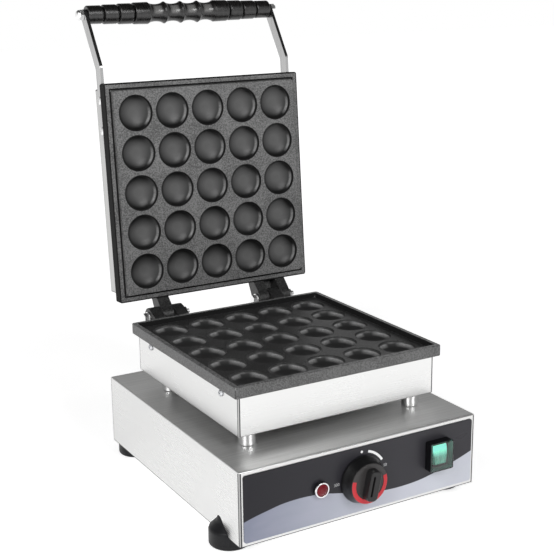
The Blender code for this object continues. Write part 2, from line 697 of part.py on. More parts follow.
def build_cabinet():
    shell = add_part("cabinet_shell",
                     tray_mesh("cabinet_shell", CABINET_WIDTH, CABINET_DEPTH, CABINET_HEIGHT,
                               CABINET_BEND),
                     stainless, assembly,
                     (0, CABINET_DEPTH / 2, CABINET_CLEARANCE + CABINET_HEIGHT / 2))
    thicken(shell, SHEET)

    floor_width = CABINET_WIDTH - 2 * (SHEET + SEAT_GAP)
    floor_depth = CABINET_DEPTH - 2 * (SHEET + SEAT_GAP)
    floor_height = SHEET + FLOOR_FLANGE
    floor = add_part("cabinet_floor",
                     tray_mesh("cabinet_floor", floor_width, floor_depth, floor_height,
                               CABINET_BEND),
                     stainless, assembly,
                     (0, CABINET_DEPTH / 2, FLOOR_TOP - floor_height / 2))
    thicken(floor, SHEET)

    vents = add_cutter("vents",
                       block_mesh("vents", VENT_LENGTH, VENT_WIDTH, SHEET + 2 * OVERRUN),
                       assembly,
                       (0, CABINET_DEPTH / 2 - (VENT_COUNT - 1) * VENT_PITCH / 2, FLOOR_TOP))
    row = vents.modifiers.new("row", "ARRAY")
    row.count = VENT_COUNT
    row.use_relative_offset = False
    row.use_constant_offset = True
    row.constant_offset_displace = (0, VENT_PITCH, 0)
    cut(floor, vents)

    for corner, (x, y) in FOOT_PLACES.items():
        cut(floor, bore("floor_hole_" + corner, FOOT_SCREW_RADIUS + RUNNING_GAP,
                        SHEET + 2 * OVERRUN, assembly, (x, y, FLOOR_TOP), steps=SCREW_STEPS))
    notches = foot_notches()
    cut(floor, *notches)
    cut(shell, *notches)

    through = SHEET + 2 * OVERRUN
    for corner, x, y in spacer_places():
        cut(shell, bore("cabinet_hole_" + corner, SPACER_BOLT_RADIUS + RUNNING_GAP, through,
                        assembly, (x, y, CABINET_TOP), steps=SCREW_STEPS))
    cut(shell, bore("cabinet_bush_hole", BUSH_RADIUS + SEAT_GAP, through, assembly,
                    (0, CASING_MIDDLE_Y, CABINET_TOP), steps=ROUND_STEPS))
    cut(shell, bore("spindle_hole", SPINDLE_HOLE_RADIUS, through, assembly,
                    (KNOB_X, 0, KNOB_AXIS_Z), FACING_FRONT))
    cut(shell, bore("lamp_hole", LAMP_NECK_RADIUS + SEAT_GAP, through, assembly,
                    (LAMP_X, 0, LAMP_AXIS_Z), FACING_FRONT))
    cut(shell, bore("gland_hole", GLAND_NECK_RADIUS + SEAT_GAP, through, assembly,
                    (GLAND_X, CABINET_DEPTH, GLAND_AXIS_Z), FACING_FRONT))
    cut(shell, switch_hole("switch_hole"))


def switch_hole(name):
    """The square hole for the switch, through the panel and the fascia."""
    mesh = block_mesh(name, SWITCH_BODY_WIDTH + 2 * SEAT_GAP, 2 * (SHEET + OVERRUN),
                      SWITCH_BODY_HEIGHT + 2 * SEAT_GAP)
    return add_cutter(name, mesh, assembly, (SWITCH_X, 0, SWITCH_AXIS_Z))


def build_fascia():
    """The printed plate on the front panel, with rounded corners."""
    width = CABINET_WIDTH - 2 * FASCIA_SIDE_MARGIN
    height = CABINET_HEIGHT - FASCIA_TOP_MARGIN - FASCIA_BOTTOM_MARGIN
    middle_z = CABINET_CLEARANCE + FASCIA_BOTTOM_MARGIN + height / 2
    plate = add_part("fascia_plate",
                     block_mesh("fascia_plate", width, height, FASCIA_SHEET, corner=FASCIA_CORNER),
                     fascia_print, assembly,
                     (0, FASCIA_FACE + FASCIA_SHEET / 2, middle_z), FACING_FRONT)
    through = FASCIA_SHEET + 2 * OVERRUN
    cut(plate, bore("fascia_spindle_hole", SPINDLE_HOLE_RADIUS, through, assembly,
                    (KNOB_X, FASCIA_FACE, KNOB_AXIS_Z), FACING_FRONT))
    cut(plate, bore("fascia_lamp_hole", LAMP_NECK_RADIUS + SEAT_GAP, through, assembly,
                    (LAMP_X, FASCIA_FACE, LAMP_AXIS_Z), FACING_FRONT))
    cut(plate, switch_hole("fascia_switch_hole"))


# Controls


def build_thermostat():
    z = KNOB_AXIS_Z
    knob_outline = [
        (0, KNOB_HEIGHT),
        (KNOB_FACE_RADIUS - KNOB_EDGE, KNOB_HEIGHT),
        (KNOB_FACE_RADIUS, KNOB_HEIGHT - KNOB_EDGE),
        (KNOB_BASE_RADIUS, KNOB_SKIRT),
        (KNOB_BASE_RADIUS, 0),
        (SPINDLE_RADIUS + RUNNING_GAP, 0),
        (SPINDLE_RADIUS + RUNNING_GAP, KNOB_BORE_DEPTH),
        (0, KNOB_BORE_DEPTH),
    ]
    knob = turned_part("thermostat_knob", knob_outline, ROUND_STEPS, black_plastic, assembly,
                       (KNOB_X, KNOB_BACK_Y, z), FACING_FRONT)
    overlap = KNOB_HEIGHT - KNOB_BORE_DEPTH - KNOB_EDGE
    bar_mesh = block_mesh("knob_bar", KNOB_BAR_WIDTH, KNOB_BAR_LENGTH, KNOB_BAR_HEIGHT + overlap,
                          corner=KNOB_BAR_EDGE, edge=KNOB_EDGE)
    bar_mesh.transform(Matrix.Rotation(KNOB_TURN, 4, "Z"))
    bar_y = KNOB_BACK_Y - KNOB_HEIGHT + overlap - (KNOB_BAR_HEIGHT + overlap) / 2
    join(knob, add_cutter("knob_bar", bar_mesh, assembly, (KNOB_X, bar_y, z), FACING_FRONT))

    spindle_front = KNOB_BACK_Y - KNOB_BORE_DEPTH + SEAT_GAP
    body_front = SHEET + SEAT_GAP
    spindle_back = body_front + SPINDLE_IN_BODY - SEAT_GAP
    length = spindle_back - spindle_front
    turned_part("thermostat_spindle",
                [(0, length), (SPINDLE_RADIUS, length), (SPINDLE_RADIUS, 0), (0, 0)],
                SMALL_STEPS, zinc, assembly, (KNOB_X, spindle_back, z), FACING_FRONT)

    body = add_part("thermostat_body",
                    block_mesh("thermostat_body", THERMOSTAT_WIDTH, THERMOSTAT_DEPTH,
                               THERMOSTAT_HEIGHT, corner=THERMOSTAT_CORNER),
                    ceramic, assembly, (KNOB_X, body_front + THERMOSTAT_DEPTH / 2, z))
    cut(body, bore("thermostat_bore", SPINDLE_RADIUS + RUNNING_GAP, 2 * SPINDLE_IN_BODY, assembly,
                   (KNOB_X, body_front, z), FACING_FRONT))

    build_capillary(body_front + THERMOSTAT_DEPTH, z)


def build_capillary(start_y, z):
    """The thin tube to the sensor bulb, up through the bush to the plate's underside."""
    bulb_z = BODY_BOTTOM - SEAT_GAP - BULB_RADIUS
    bulb_back = CASING_MIDDLE_Y + BULB_LENGTH
    corners = [
        Vector((KNOB_X, start_y + SEAT_GAP, z)),
        Vector((KNOB_X, start_y + CAPILLARY_RUN, z)),
        Vector((0, CASING_MIDDLE_Y, z)),
        Vector((0, CASING_MIDDLE_Y, bulb_z)),
        Vector((0, bulb_back - BULB_LENGTH / 2, bulb_z)),
    ]
    route = rounded_path(corners, CAPILLARY_BEND)
    radii = [CAPILLARY_RADIUS] * len(route)
    route += [
        Vector((0, bulb_back - BULB_LENGTH / 2 + BULB_RADIUS, bulb_z)),
        Vector((0, bulb_back, bulb_z)),
    ]
    radii += [BULB_RADIUS, BULB_RADIUS]
    add_part("thermostat_capillary", tube_mesh("thermostat_capillary", route, radii), copper,
             assembly, (0, 0, 0))


def build_lamp():
    seat = LAMP_BEZEL_HEIGHT - LAMP_SEAT
    seat_radius = LAMP_LENS_RADIUS + SEAT_GAP
    back = FASCIA_FACE - SEAT_GAP
    bezel_outline = [
        (0, seat),
        (seat_radius, seat),
        (seat_radius, LAMP_BEZEL_HEIGHT),
        (LAMP_BEZEL_RADIUS - LAMP_SEAT / 2, LAMP_BEZEL_HEIGHT),
        (LAMP_BEZEL_RADIUS, seat),
        (LAMP_BEZEL_RADIUS, 0),
        (LAMP_NECK_RADIUS, 0),
        (LAMP_NECK_RADIUS, -LAMP_NECK_LENGTH),
        (0, -LAMP_NECK_LENGTH),
    ]
    turned_part("indicator_bezel", bezel_outline, ROUND_STEPS, chrome, assembly,
                (LAMP_X, back, LAMP_AXIS_Z), FACING_FRONT)
    lens_back = seat + SEAT_GAP
    lens_edge = LAMP_BEZEL_HEIGHT
    lens_outline = [
        (0, lens_edge + LAMP_LENS_DOME),
        (LAMP_LENS_RADIUS * LENS_RING_SHARE, lens_edge + LAMP_LENS_DOME * LENS_RISE_SHARE),
        (LAMP_LENS_RADIUS, lens_edge),
        (LAMP_LENS_RADIUS, lens_back),
        (0, lens_back),
    ]
    turned_part("indicator_lens", lens_outline, ROUND_STEPS, red_lens, assembly,
                (LAMP_X, back, LAMP_AXIS_Z), FACING_FRONT)


def build_switch():
    z = SWITCH_AXIS_Z
    flange_y = SWITCH_BACK_Y - SWITCH_FLANGE / 2
    housing = add_part("switch_housing",
                       block_mesh("switch_housing", SWITCH_FLANGE_WIDTH, SWITCH_FLANGE_HEIGHT,
                                  SWITCH_FLANGE, corner=COVER_WALL),
                       black_plastic, assembly, (SWITCH_X, flange_y, z), FACING_FRONT)
    body_front = flange_y
    body_depth = SWITCH_BODY_DEPTH - body_front
    join(housing, add_cutter("switch_body",
                             block_mesh("switch_body", SWITCH_BODY_WIDTH, body_depth,
                                        SWITCH_BODY_HEIGHT),
                             assembly, (SWITCH_X, body_front + body_depth / 2, z)))

    pivot_y = FASCIA_FACE + ROCKER_PIVOT_DEPTH
    pocket_front = SWITCH_BACK_Y - SWITCH_FLANGE - OVERRUN
    back_reach = math.hypot(ROCKER_BACK, ROCKER_BACK_HALF_HEIGHT)
    pocket_back = pivot_y + back_reach + POCKET_FLOOR_GAP
    pocket_depth = pocket_back - pocket_front
    cut(housing, add_cutter("switch_pocket",
                            block_mesh("switch_pocket", SWITCH_POCKET_WIDTH, pocket_depth,
                                       SWITCH_POCKET_HEIGHT),
                            assembly, (SWITCH_X, pocket_front + pocket_depth / 2, z)))
    axle_length = SWITCH_POCKET_WIDTH + 2 * AXLE_REACH
    cut(housing, bore("axle_bore", AXLE_RADIUS + RUNNING_GAP, axle_length + 2 * SEAT_GAP, assembly,
                      (SWITCH_X, pivot_y, z), FACING_RIGHT))

    rocker_outline = [
        (-ROCKER_END, ROCKER_HALF_HEIGHT),
        (-ROCKER_RIDGE, 0),
        (-ROCKER_END, -ROCKER_HALF_HEIGHT),
        (-ROCKER_HEEL, -ROCKER_HEEL_HALF_HEIGHT),
        (ROCKER_BACK, -ROCKER_BACK_HALF_HEIGHT),
        (ROCKER_BACK, ROCKER_BACK_HALF_HEIGHT),
        (-ROCKER_HEEL, ROCKER_HEEL_HALF_HEIGHT),
    ]
    rocker_mesh = outline_mesh("switch_rocker", rocker_outline,
                               SWITCH_POCKET_WIDTH - 2 * SEAT_GAP)
    rocker_mesh.transform(Matrix.Rotation(-ROCKER_TILT, 4, "Z"))
    rocker = add_part("switch_rocker", rocker_mesh, green_rocker, assembly,
                      (SWITCH_X, pivot_y, z), SIDE_VIEW)
    join(rocker, bore("rocker_axle", AXLE_RADIUS, axle_length, assembly, (SWITCH_X, pivot_y, z),
                      FACING_RIGHT))

    cover_width = SWITCH_FLANGE_WIDTH + 2 * (SEAT_GAP + COVER_WALL)
    cover_height = SWITCH_FLANGE_HEIGHT + 2 * (SEAT_GAP + COVER_WALL)
    cover = add_part("switch_cover",
                     tray_mesh("switch_cover", cover_width, cover_height, COVER_HEIGHT, COVER_BEND),
                     clear_cover, assembly,
                     (SWITCH_X, SWITCH_BACK_Y - COVER_HEIGHT / 2, z), FACING_FRONT)
    thicken(cover, COVER_WALL)


# Inside the cabinet


def build_wiring_parts():
    terminal_y = CABINET_DEPTH - TERMINAL_FROM_BACK
    terminal_z = FLOOR_TOP + SEAT_GAP + TERMINAL_HEIGHT / 2
    terminals = add_part("terminal_block",
                         block_mesh("terminal_block", TERMINAL_WIDTH, TERMINAL_DEPTH,
                                    TERMINAL_HEIGHT, edge=TERMINAL_EDGE),
                         ceramic, assembly, (GLAND_X, terminal_y, terminal_z))
    pole_pitch = TERMINAL_WIDTH / TERMINAL_POLES
    for pole in range(TERMINAL_POLES):
        x = GLAND_X + (pole - (TERMINAL_POLES - 1) / 2) * pole_pitch
        cut(terminals, bore("pole_%d" % (pole + 1), TERMINAL_BORE_RADIUS,
                            TERMINAL_DEPTH + 2 * OVERRUN, assembly, (x, terminal_y, terminal_z),
                            FACING_FRONT))

    nut_face = -(SHEET + SEAT_GAP)
    gland_outline = [
        (GLAND_TIP_RADIUS, GLAND_OUTER),
        (GLAND_RADIUS, GLAND_OUTER - GLAND_TAPER),
        (GLAND_RADIUS, SEAT_GAP),
        (GLAND_NECK_RADIUS, SEAT_GAP),
        (GLAND_NECK_RADIUS, nut_face),
        (GLAND_RADIUS, nut_face),
        (GLAND_RADIUS, nut_face - GLAND_NUT),
        (GLAND_BORE_RADIUS, nut_face - GLAND_NUT),
        (GLAND_BORE_RADIUS, GLAND_OUTER),
    ]
    turned_part("cable_gland", gland_outline, SMALL_STEPS, black_plastic, assembly,
                (GLAND_X, CABINET_DEPTH, GLAND_AXIS_Z), FACING_BACK, closed=True)

    top = CASING_BOTTOM + SHEET + SEAT_GAP
    bottom = CABINET_TOP - SHEET - SEAT_GAP
    bush_outline = [
        (BUSH_LIP_RADIUS, top + BUSH_LIP),
        (BUSH_LIP_RADIUS, top),
        (BUSH_RADIUS, top),
        (BUSH_RADIUS, bottom),
        (BUSH_LIP_RADIUS, bottom),
        (BUSH_LIP_RADIUS, bottom - BUSH_LIP),
        (BUSH_BORE_RADIUS, bottom - BUSH_LIP),
        (BUSH_BORE_RADIUS, top + BUSH_LIP),
    ]
    turned_part("wire_bush", bush_outline, SMALL_STEPS, rubber, assembly,
                (0, CASING_MIDDLE_Y, 0), closed=True)


# Spacers and lower casing


def build_spacers():
    hole = SPACER_BOLT_RADIUS + RUNNING_GAP
    low = CABINET_TOP + SEAT_GAP
    high = CASING_BOTTOM - SEAT_GAP
    outline = [(SPACER_RADIUS, high), (SPACER_RADIUS, low), (hole, low), (hole, high)]
    seat = CASING_BOTTOM + SHEET + SEAT_GAP
    bolt = screw_profile(SPACER_BOLT_HEAD_RADIUS, SPACER_BOLT_HEAD, SPACER_BOLT_RADIUS,
                         seat - CABINET_TOP + SPACER_BOLT_END)
    for corner, x, y in spacer_places():
        turned_part("spacer_" + corner, outline, ROUND_STEPS, polished_steel, assembly, (x, y, 0),
                    closed=True)
        turned_part("spacer_bolt_" + corner, bolt, SCREW_STEPS, zinc, assembly, (x, y, seat))


def build_lower_casing():
    casing = add_part("lower_casing",
                      tray_mesh("lower_casing", CASING_WIDTH, CASING_DEPTH, CASING_HEIGHT,
                                CASING_BEND),
                      stainless, assembly,
                      (0, CASING_MIDDLE_Y, CASING_BOTTOM + CASING_HEIGHT / 2), FACING_DOWN)
    thicken(casing, SHEET)
    through = SHEET + 2 * OVERRUN
    for corner, x, y in spacer_places():
        cut(casing, bore("casing_hole_" + corner, SPACER_BOLT_RADIUS + RUNNING_GAP, through,
                         assembly, (x, y, CASING_BOTTOM), steps=SCREW_STEPS))
    cut(casing, bore("casing_bush_hole", BUSH_RADIUS + SEAT_GAP, through, assembly,
                     (0, CASING_MIDDLE_Y, CASING_BOTTOM), steps=ROUND_STEPS))
    return casing


def side_screws(label, piece_names, z, frame, material, places, radius, head_radius, head, stack):
    """Round-headed screws from both sides, through a casing into its plate."""
    holes = []
    length = stack + SHEET + PLATE_BODY_INSET + CASING_SCREW_REACH
    outline = screw_profile(head_radius, head, radius, length)
    face = CASING_WIDTH / 2 + stack + SEAT_GAP
    for side, sign in (("left", -1), ("right", 1)):
        turn = (0, sign * math.pi / 2, 0)
        for end, y in places:
            name = "_".join((label, end, side)) if end else "_".join((label, side))
            turned_part(name, outline, SCREW_STEPS, material, frame, (sign * face, y, z), turn)
            holes.append(bore("hole_" + name, radius + RUNNING_GAP, 2 * (length + SEAT_GAP), frame,
                              (sign * face, y, z), turn, steps=SCREW_STEPS))
    for piece in piece_names:
        cut(piece, *holes)


# Cast plates


def cavities(name, frame, face_z, turn):
    """Twenty-five bowls in one cutter, from one turned bowl and two rows."""
    bowl = [(0, OVERRUN), (CAVITY_RADIUS, OVERRUN)]
    for ring in range(BOWL_RINGS + 1):
        angle = math.pi / 2 * ring / BOWL_RINGS
        drop = (CAVITY_DEPTH - CAVITY_LIP) * math.sin(angle)
        bowl.append((CAVITY_RADIUS * math.cos(angle), -CAVITY_LIP - drop))
    reach = (CAVITY_COUNT - 1) * CAVITY_PITCH / 2
    first_y = reach if turn == FACING_DOWN else -reach
    cutter = turned_cutter(name, bowl, BOWL_STEPS, frame,
                           (-reach, CASING_MIDDLE_Y + first_y, face_z), turn)
    for label, step in (("across", (CAVITY_PITCH, 0, 0)), ("back", (0, CAVITY_PITCH, 0))):
        row = cutter.modifiers.new(label, "ARRAY")
        row.count = CAVITY_COUNT
        row.use_relative_offset = False
        row.use_constant_offset = True
        row.constant_offset_displace = step
        row.merge_threshold = MERGE
    return cutter


def lower_lug_outline():
    """Side view from the hinge axis: a boss, and a web forward into the lower plate."""
    plate_edge = -HINGE_BACK
    root = plate_edge - LUG_ROOT
    low = RIM_BOTTOM - HINGE.z + LUG_SHOULDER
    high = HINGE_DROP - LUG_SHOULDER
    boss = arc((0, 0), HINGE_BOSS_RADIUS, -math.pi / 2, LOWER_BOSS_TOP, BOSS_FACETS)
    return [(root, low)] + boss + [(plate_edge, high), (root, high)]


def lid_lug_outline():
    """Side view, lid closed: a boss, and a web up and forward into the lid plate."""
    plate_edge = -HINGE_BACK
    root = plate_edge - LUG_ROOT
    low = BORDER_BOTTOM - HINGE.z + LUG_SHOULDER
    boss = arc((0, 0), HINGE_BOSS_RADIUS, LID_BOSS_LOW, LID_BOSS_TOP, BOSS_FACETS)
    return [(root, low), (plate_edge, low)] + boss + [(plate_edge, LID_LUG_TOP), (root, LID_LUG_TOP)]


def bridge_outline():
    """Side view, lid closed: the web between the fork's lugs, just under their upper edge."""
    start = (-HINGE_BACK, LID_LUG_TOP - LUG_SHOULDER)
    boss = (HINGE_BOSS_RADIUS * math.cos(LID_BOSS_TOP),
            HINGE_BOSS_RADIUS * math.sin(LID_BOSS_TOP) - LUG_SHOULDER)
    end = [a + (b - a) * BRIDGE_REACH_SHARE for a, b in zip(start, boss)]
    root = start[0] - LUG_ROOT + LUG_SHOULDER
    return [
        (root, start[1] - BRIDGE_THICKNESS),
        (start[0], start[1] - BRIDGE_THICKNESS),
        (end[0], end[1] - BRIDGE_THICKNESS),
        (end[0], end[1]),
        start,
        (root, start[1]),
    ]


def add_lugs(plate, outline, frame, tongue_x, fork_x, label):
    """A tongue at one hinge and the two lugs of a fork at the other, with bolt holes."""
    fork_offset = (LUG_INNER + LUG_OUTER) / 2
    lugs = [
        ("tongue", tongue_x, TONGUE_WIDTH),
        ("fork_left", fork_x - fork_offset, LUG_WIDTH),
        ("fork_right", fork_x + fork_offset, LUG_WIDTH),
    ]
    for part_of_lug, x, width in lugs:
        name = label + "_" + part_of_lug
        join(plate, add_cutter(name, outline_mesh(name, outline, width), frame,
                               (x, HINGE.y, HINGE.z), SIDE_VIEW))
    for side, x in (("left", -HINGE_X), ("right", HINGE_X)):
        cut(plate, bore(label + "_bolt_hole_" + side, HINGE_BOLT_RADIUS + RUNNING_GAP,
                        2 * (LUG_OUTER + OVERRUN), frame, (x, HINGE.y, HINGE.z), FACING_RIGHT))


def slab(name, width, depth, low, high, corner, frame, draft=0.0):
    """A rounded slab between two heights, its walls leaning out upwards, as a tool."""
    mesh = block_mesh(name, width, depth, high - low, corner=corner)
    lean = (high - low) * math.tan(draft)
    for point in mesh.vertices:
        if point.co.z > 0:
            point.co.x += math.copysign(lean, point.co.x)
            point.co.y += math.copysign(lean, point.co.y)
    return add_cutter(name, mesh, frame, (0, CASING_MIDDLE_Y, (low + high) / 2))


def build_lower_plate():
    plate = add_part("lower_plate",
                     block_mesh("lower_plate", PLATE_WIDTH, PLATE_DEPTH, RIM_THICKNESS,
                                corner=PLATE_CORNER, edge=PLATE_EDGE),
                     plate_coating, assembly,
                     (0, CASING_MIDDLE_Y, PLATE_TOP - RIM_THICKNESS / 2))
    join(plate, slab("lower_body", BODY_WIDTH, BODY_DEPTH, BODY_BOTTOM,
                     RIM_BOTTOM + LUG_ROOT, PLATE_BODY_CORNER, assembly))
    add_lugs(plate, lower_lug_outline(), assembly, HINGE_X, -HINGE_X, "lower")
    inset = RIM_WIDTH + RECESS_DEPTH * math.tan(DRAFT)
    cut(plate, slab("recess", PLATE_WIDTH - 2 * inset, PLATE_DEPTH - 2 * inset,
                    RECESS_FLOOR, PLATE_TOP + OVERRUN, RECESS_CORNER, assembly, DRAFT))
    cut(plate, cavities("lower_cavities", assembly, RECESS_FLOOR, (0, 0, 0)))
    return plate


def build_lid_plate():
    plate = add_part("lid_plate",
                     block_mesh("lid_plate", LID_PLATE_WIDTH, LID_PLATE_DEPTH, BORDER_THICKNESS,
                                corner=PLATE_CORNER, edge=PLATE_EDGE),
                     plate_coating, lid_pivot,
                     (0, CASING_MIDDLE_Y, BORDER_TOP - BORDER_THICKNESS / 2))
    join(plate, slab("lid_body", BODY_WIDTH, BODY_DEPTH, BORDER_TOP - LUG_ROOT,
                     LID_BODY_TOP, PLATE_BODY_CORNER, lid_pivot))
    inset = RIM_WIDTH + LAND_PLAY + LAND_HEIGHT * math.tan(DRAFT)
    join(plate, slab("land", PLATE_WIDTH - 2 * inset, PLATE_DEPTH - 2 * inset, LAND_FACE,
                     BORDER_BOTTOM + LUG_ROOT, LAND_CORNER, lid_pivot, DRAFT))
    join(plate, add_cutter("bridge", outline_mesh("bridge", bridge_outline(),
                                                  2 * LUG_INNER + LUG_WIDTH),
                           lid_pivot, (HINGE_X, HINGE.y, HINGE.z), SIDE_VIEW))
    add_lugs(plate, lid_lug_outline(), lid_pivot, -HINGE_X, HINGE_X, "lid")
    cut(plate, cavities("lid_cavities", lid_pivot, LAND_FACE, FACING_DOWN))
    return plate


def build_hinge_bolts():
    """A hex bolt through each fork, head on the left and nut on the right."""
    grip = LUG_OUTER + SEAT_GAP
    length = 2 * grip + HINGE_NUT + SEAT_GAP + HINGE_THREAD_END
    shank = [
        (0, HINGE_WASHER),
        (HINGE_WASHER_RADIUS, HINGE_WASHER),
        (HINGE_WASHER_RADIUS, 0),
        (HINGE_BOLT_RADIUS, 0),
        (HINGE_BOLT_RADIUS, -length),
        (0, -length),
    ]
    facing_left = (0, -math.pi / 2, 0)
    for side, x in (("left", -HINGE_X), ("right", HINGE_X)):
        at = (x - grip, HINGE.y, HINGE.z)
        bolt = turned_part("hinge_bolt_" + side, shank, SMALL_STEPS, polished_steel, assembly, at,
                           facing_left)
        head = turned_cutter("hinge_head_" + side,
                             hex_profile(HINGE_HEAD_RADIUS, HINGE_WASHER + HINGE_HEAD), HEX,
                             assembly, at, facing_left)
        join(bolt, head)
        nut_at = (x + grip, HINGE.y, HINGE.z)
        nut = turned_part("hinge_nut_" + side, hex_profile(HINGE_HEAD_RADIUS, HINGE_NUT), HEX,
                          polished_steel, assembly, nut_at, FACING_RIGHT)
        cut(nut, bore("nut_bore_" + side, HINGE_BOLT_RADIUS + RUNNING_GAP,
                      2 * (HINGE_NUT + OVERRUN), assembly, nut_at, FACING_RIGHT))


# Lid casing, arms and grip


def build_lid_casing():
    casing = add_part("lid_casing",
                      tray_mesh("lid_casing", CASING_WIDTH, CASING_DEPTH, LID_CASING_HEIGHT,
                                CASING_BEND),
                      stainless, lid_pivot,
                      (0, CASING_MIDDLE_Y, LID_CASING_BOTTOM + LID_CASING_HEIGHT / 2))
    thicken(casing, SHEET)
    bush_z = (LID_BODY_TOP + LID_CASING_TOP) / 2
    cut(casing, bore("lid_bush_hole", LID_BUSH_RADIUS + SEAT_GAP, 2 * (SHEET + OVERRUN), lid_pivot,
                     (LID_BUSH_X, CASING_BACK_Y, bush_z), FACING_FRONT))
    lip = LID_BUSH_RADIUS + BUSH_LIP
    inner = -(SHEET + SEAT_GAP)
    bush_outline = [
        (lip, SEAT_GAP + BUSH_LIP),
        (lip, SEAT_GAP),
        (LID_BUSH_RADIUS, SEAT_GAP),
        (LID_BUSH_RADIUS, inner),
        (lip, inner),
        (lip, inner - BUSH_LIP),
        (LID_BUSH_BORE_RADIUS, inner - BUSH_LIP),
        (LID_BUSH_BORE_RADIUS, SEAT_GAP + BUSH_LIP),
    ]
    turned_part("lid_wire_bush", bush_outline, SMALL_STEPS, rubber, lid_pivot,
                (LID_BUSH_X, CASING_BACK_Y, bush_z), FACING_BACK, closed=True)
    return casing


def arm_outline():
    """Side view of a handle arm, from the hinge axis, lid closed."""
    half = ARM_WIDTH / 2
    back_end = CASING_FRONT_Y + ARM_LAP - HINGE.y
    bend_y = ARM_BEND_Y - HINGE.y
    level = ARM_Z - HINGE.z
    grip = (GRIP_Y - HINGE.y, GRIP_Z - HINGE.z)
    mitre = half * math.tan(ARM_RISE / 2)
    rounded = arc(grip, half, math.pi * 3 / 2 - ARM_RISE, math.pi / 2 - ARM_RISE, ARM_END_FACETS)
    return [
        (back_end, level + half),
        (bend_y + mitre, level + half),
        *reversed(rounded),
        (bend_y - mitre, level - half),
        (back_end, level - half),
    ]


def arm_screw_places():
    back_end = CASING_FRONT_Y + ARM_LAP - ARM_SCREW_FROM_END
    return (("front", back_end - ARM_SCREW_SPACING), ("rear", back_end))


def build_arms():
    arms = []
    for side, sign in (("left", -1), ("right", 1)):
        name = "handle_arm_" + side
        x = sign * (ARM_FACE_X + ARM_OUTER_X) / 2
        arm = add_part(name, outline_mesh(name, arm_outline(), ARM_THICKNESS), arm_steel,
                       lid_pivot, (x, HINGE.y, HINGE.z), SIDE_VIEW)
        cut(arm, bore("rod_hole_" + side, ROD_RADIUS + RUNNING_GAP,
                      ARM_THICKNESS + 2 * OVERRUN, lid_pivot, (x, GRIP_Y, GRIP_Z), FACING_RIGHT))
        arms.append(arm)
    return arms


def barrel_radius(index):
    """Radius of a barrel; index 0 is the outermost."""
    return GRIP_END_RADIUS + index * GRIP_BARREL_SWELL


def grip_side():
    """Radius and height of one end of the grip, from its end to the scallops."""
    end = GRIP_HALF_LENGTH
    points = [(barrel_radius(0) - GRIP_CHAMFER, end), (barrel_radius(0), end - GRIP_CHAMFER)]
    for index in range(BARREL_COUNT - 1):
        groove = end - (index + 1) * BARREL_LENGTH
        points.append((barrel_radius(index), groove + GROOVE_WIDTH / 2))
        points.append((barrel_radius(index) - GROOVE_DEPTH, groove))
        points.append((barrel_radius(index + 1), groove - GROOVE_WIDTH / 2))
    points.append((barrel_radius(BARREL_COUNT - 1), end - BARREL_COUNT * BARREL_LENGTH))
    return points


def build_grip():
    side = grip_side()
    first_peak = side[-1][1]
    middle = []
    for scallop in range(SCALLOP_COUNT):
        for step in range(1, SCALLOP_FACETS + 1):
            share = step / SCALLOP_FACETS
            dip = math.sin(math.pi * share)
            radius = SCALLOP_PEAK_RADIUS - (SCALLOP_PEAK_RADIUS - SCALLOP_VALLEY_RADIUS) * dip
            middle.append((radius, first_peak - (scallop + share) * SCALLOP_LENGTH))
    middle.pop()
    other_side = [(radius, -height) for radius, height in reversed(side)]
    hole = ROD_RADIUS + RUNNING_GAP
    outline = side + middle + other_side + [(hole, -GRIP_HALF_LENGTH), (hole, GRIP_HALF_LENGTH)]
    turned_part("handle_grip", outline, ROUND_STEPS, turned_grip, lid_pivot, (0, GRIP_Y, GRIP_Z),
                FACING_RIGHT, closed=True)

    rod_half = ARM_OUTER_X + ROD_END
    rod = [(0, rod_half), (ROD_RADIUS, rod_half), (ROD_RADIUS, -rod_half), (0, -rod_half)]
    turned_part("handle_rod", rod, SMALL_STEPS, polished_steel, lid_pivot, (0, GRIP_Y, GRIP_Z),
                FACING_RIGHT)

    for name, sign in (("left", -1), ("right", 1)):
        at = (sign * (ARM_OUTER_X + SEAT_GAP), GRIP_Y, GRIP_Z)
        turn = (0, sign * math.pi / 2, 0)
        nut = turned_part("cap_nut_" + name, hex_profile(CAP_NUT_RADIUS, CAP_NUT_HEX), HEX,
                          polished_steel, lid_pivot, at, turn)
        dome_radius = CAP_NUT_RADIUS * math.cos(math.pi / HEX)
        dome = [(0, CAP_NUT_HEX + CAP_NUT_DOME)]
        for y, z in arc((0, 0), 1.0, math.radians(60), 0, 2):
            dome.append((dome_radius * y, CAP_NUT_HEX + CAP_NUT_DOME * z))
        dome += [(dome_radius, CAP_NUT_HEX / 2), (0, CAP_NUT_HEX / 2)]
        join(nut, turned_cutter("cap_dome_" + name, dome, SMALL_STEPS, lid_pivot, at, turn))
        cut(nut, bore("cap_bore_" + name, ROD_RADIUS + RUNNING_GAP, 2 * CAP_NUT_BORE, lid_pivot, at,
                      turn))


# Heaters


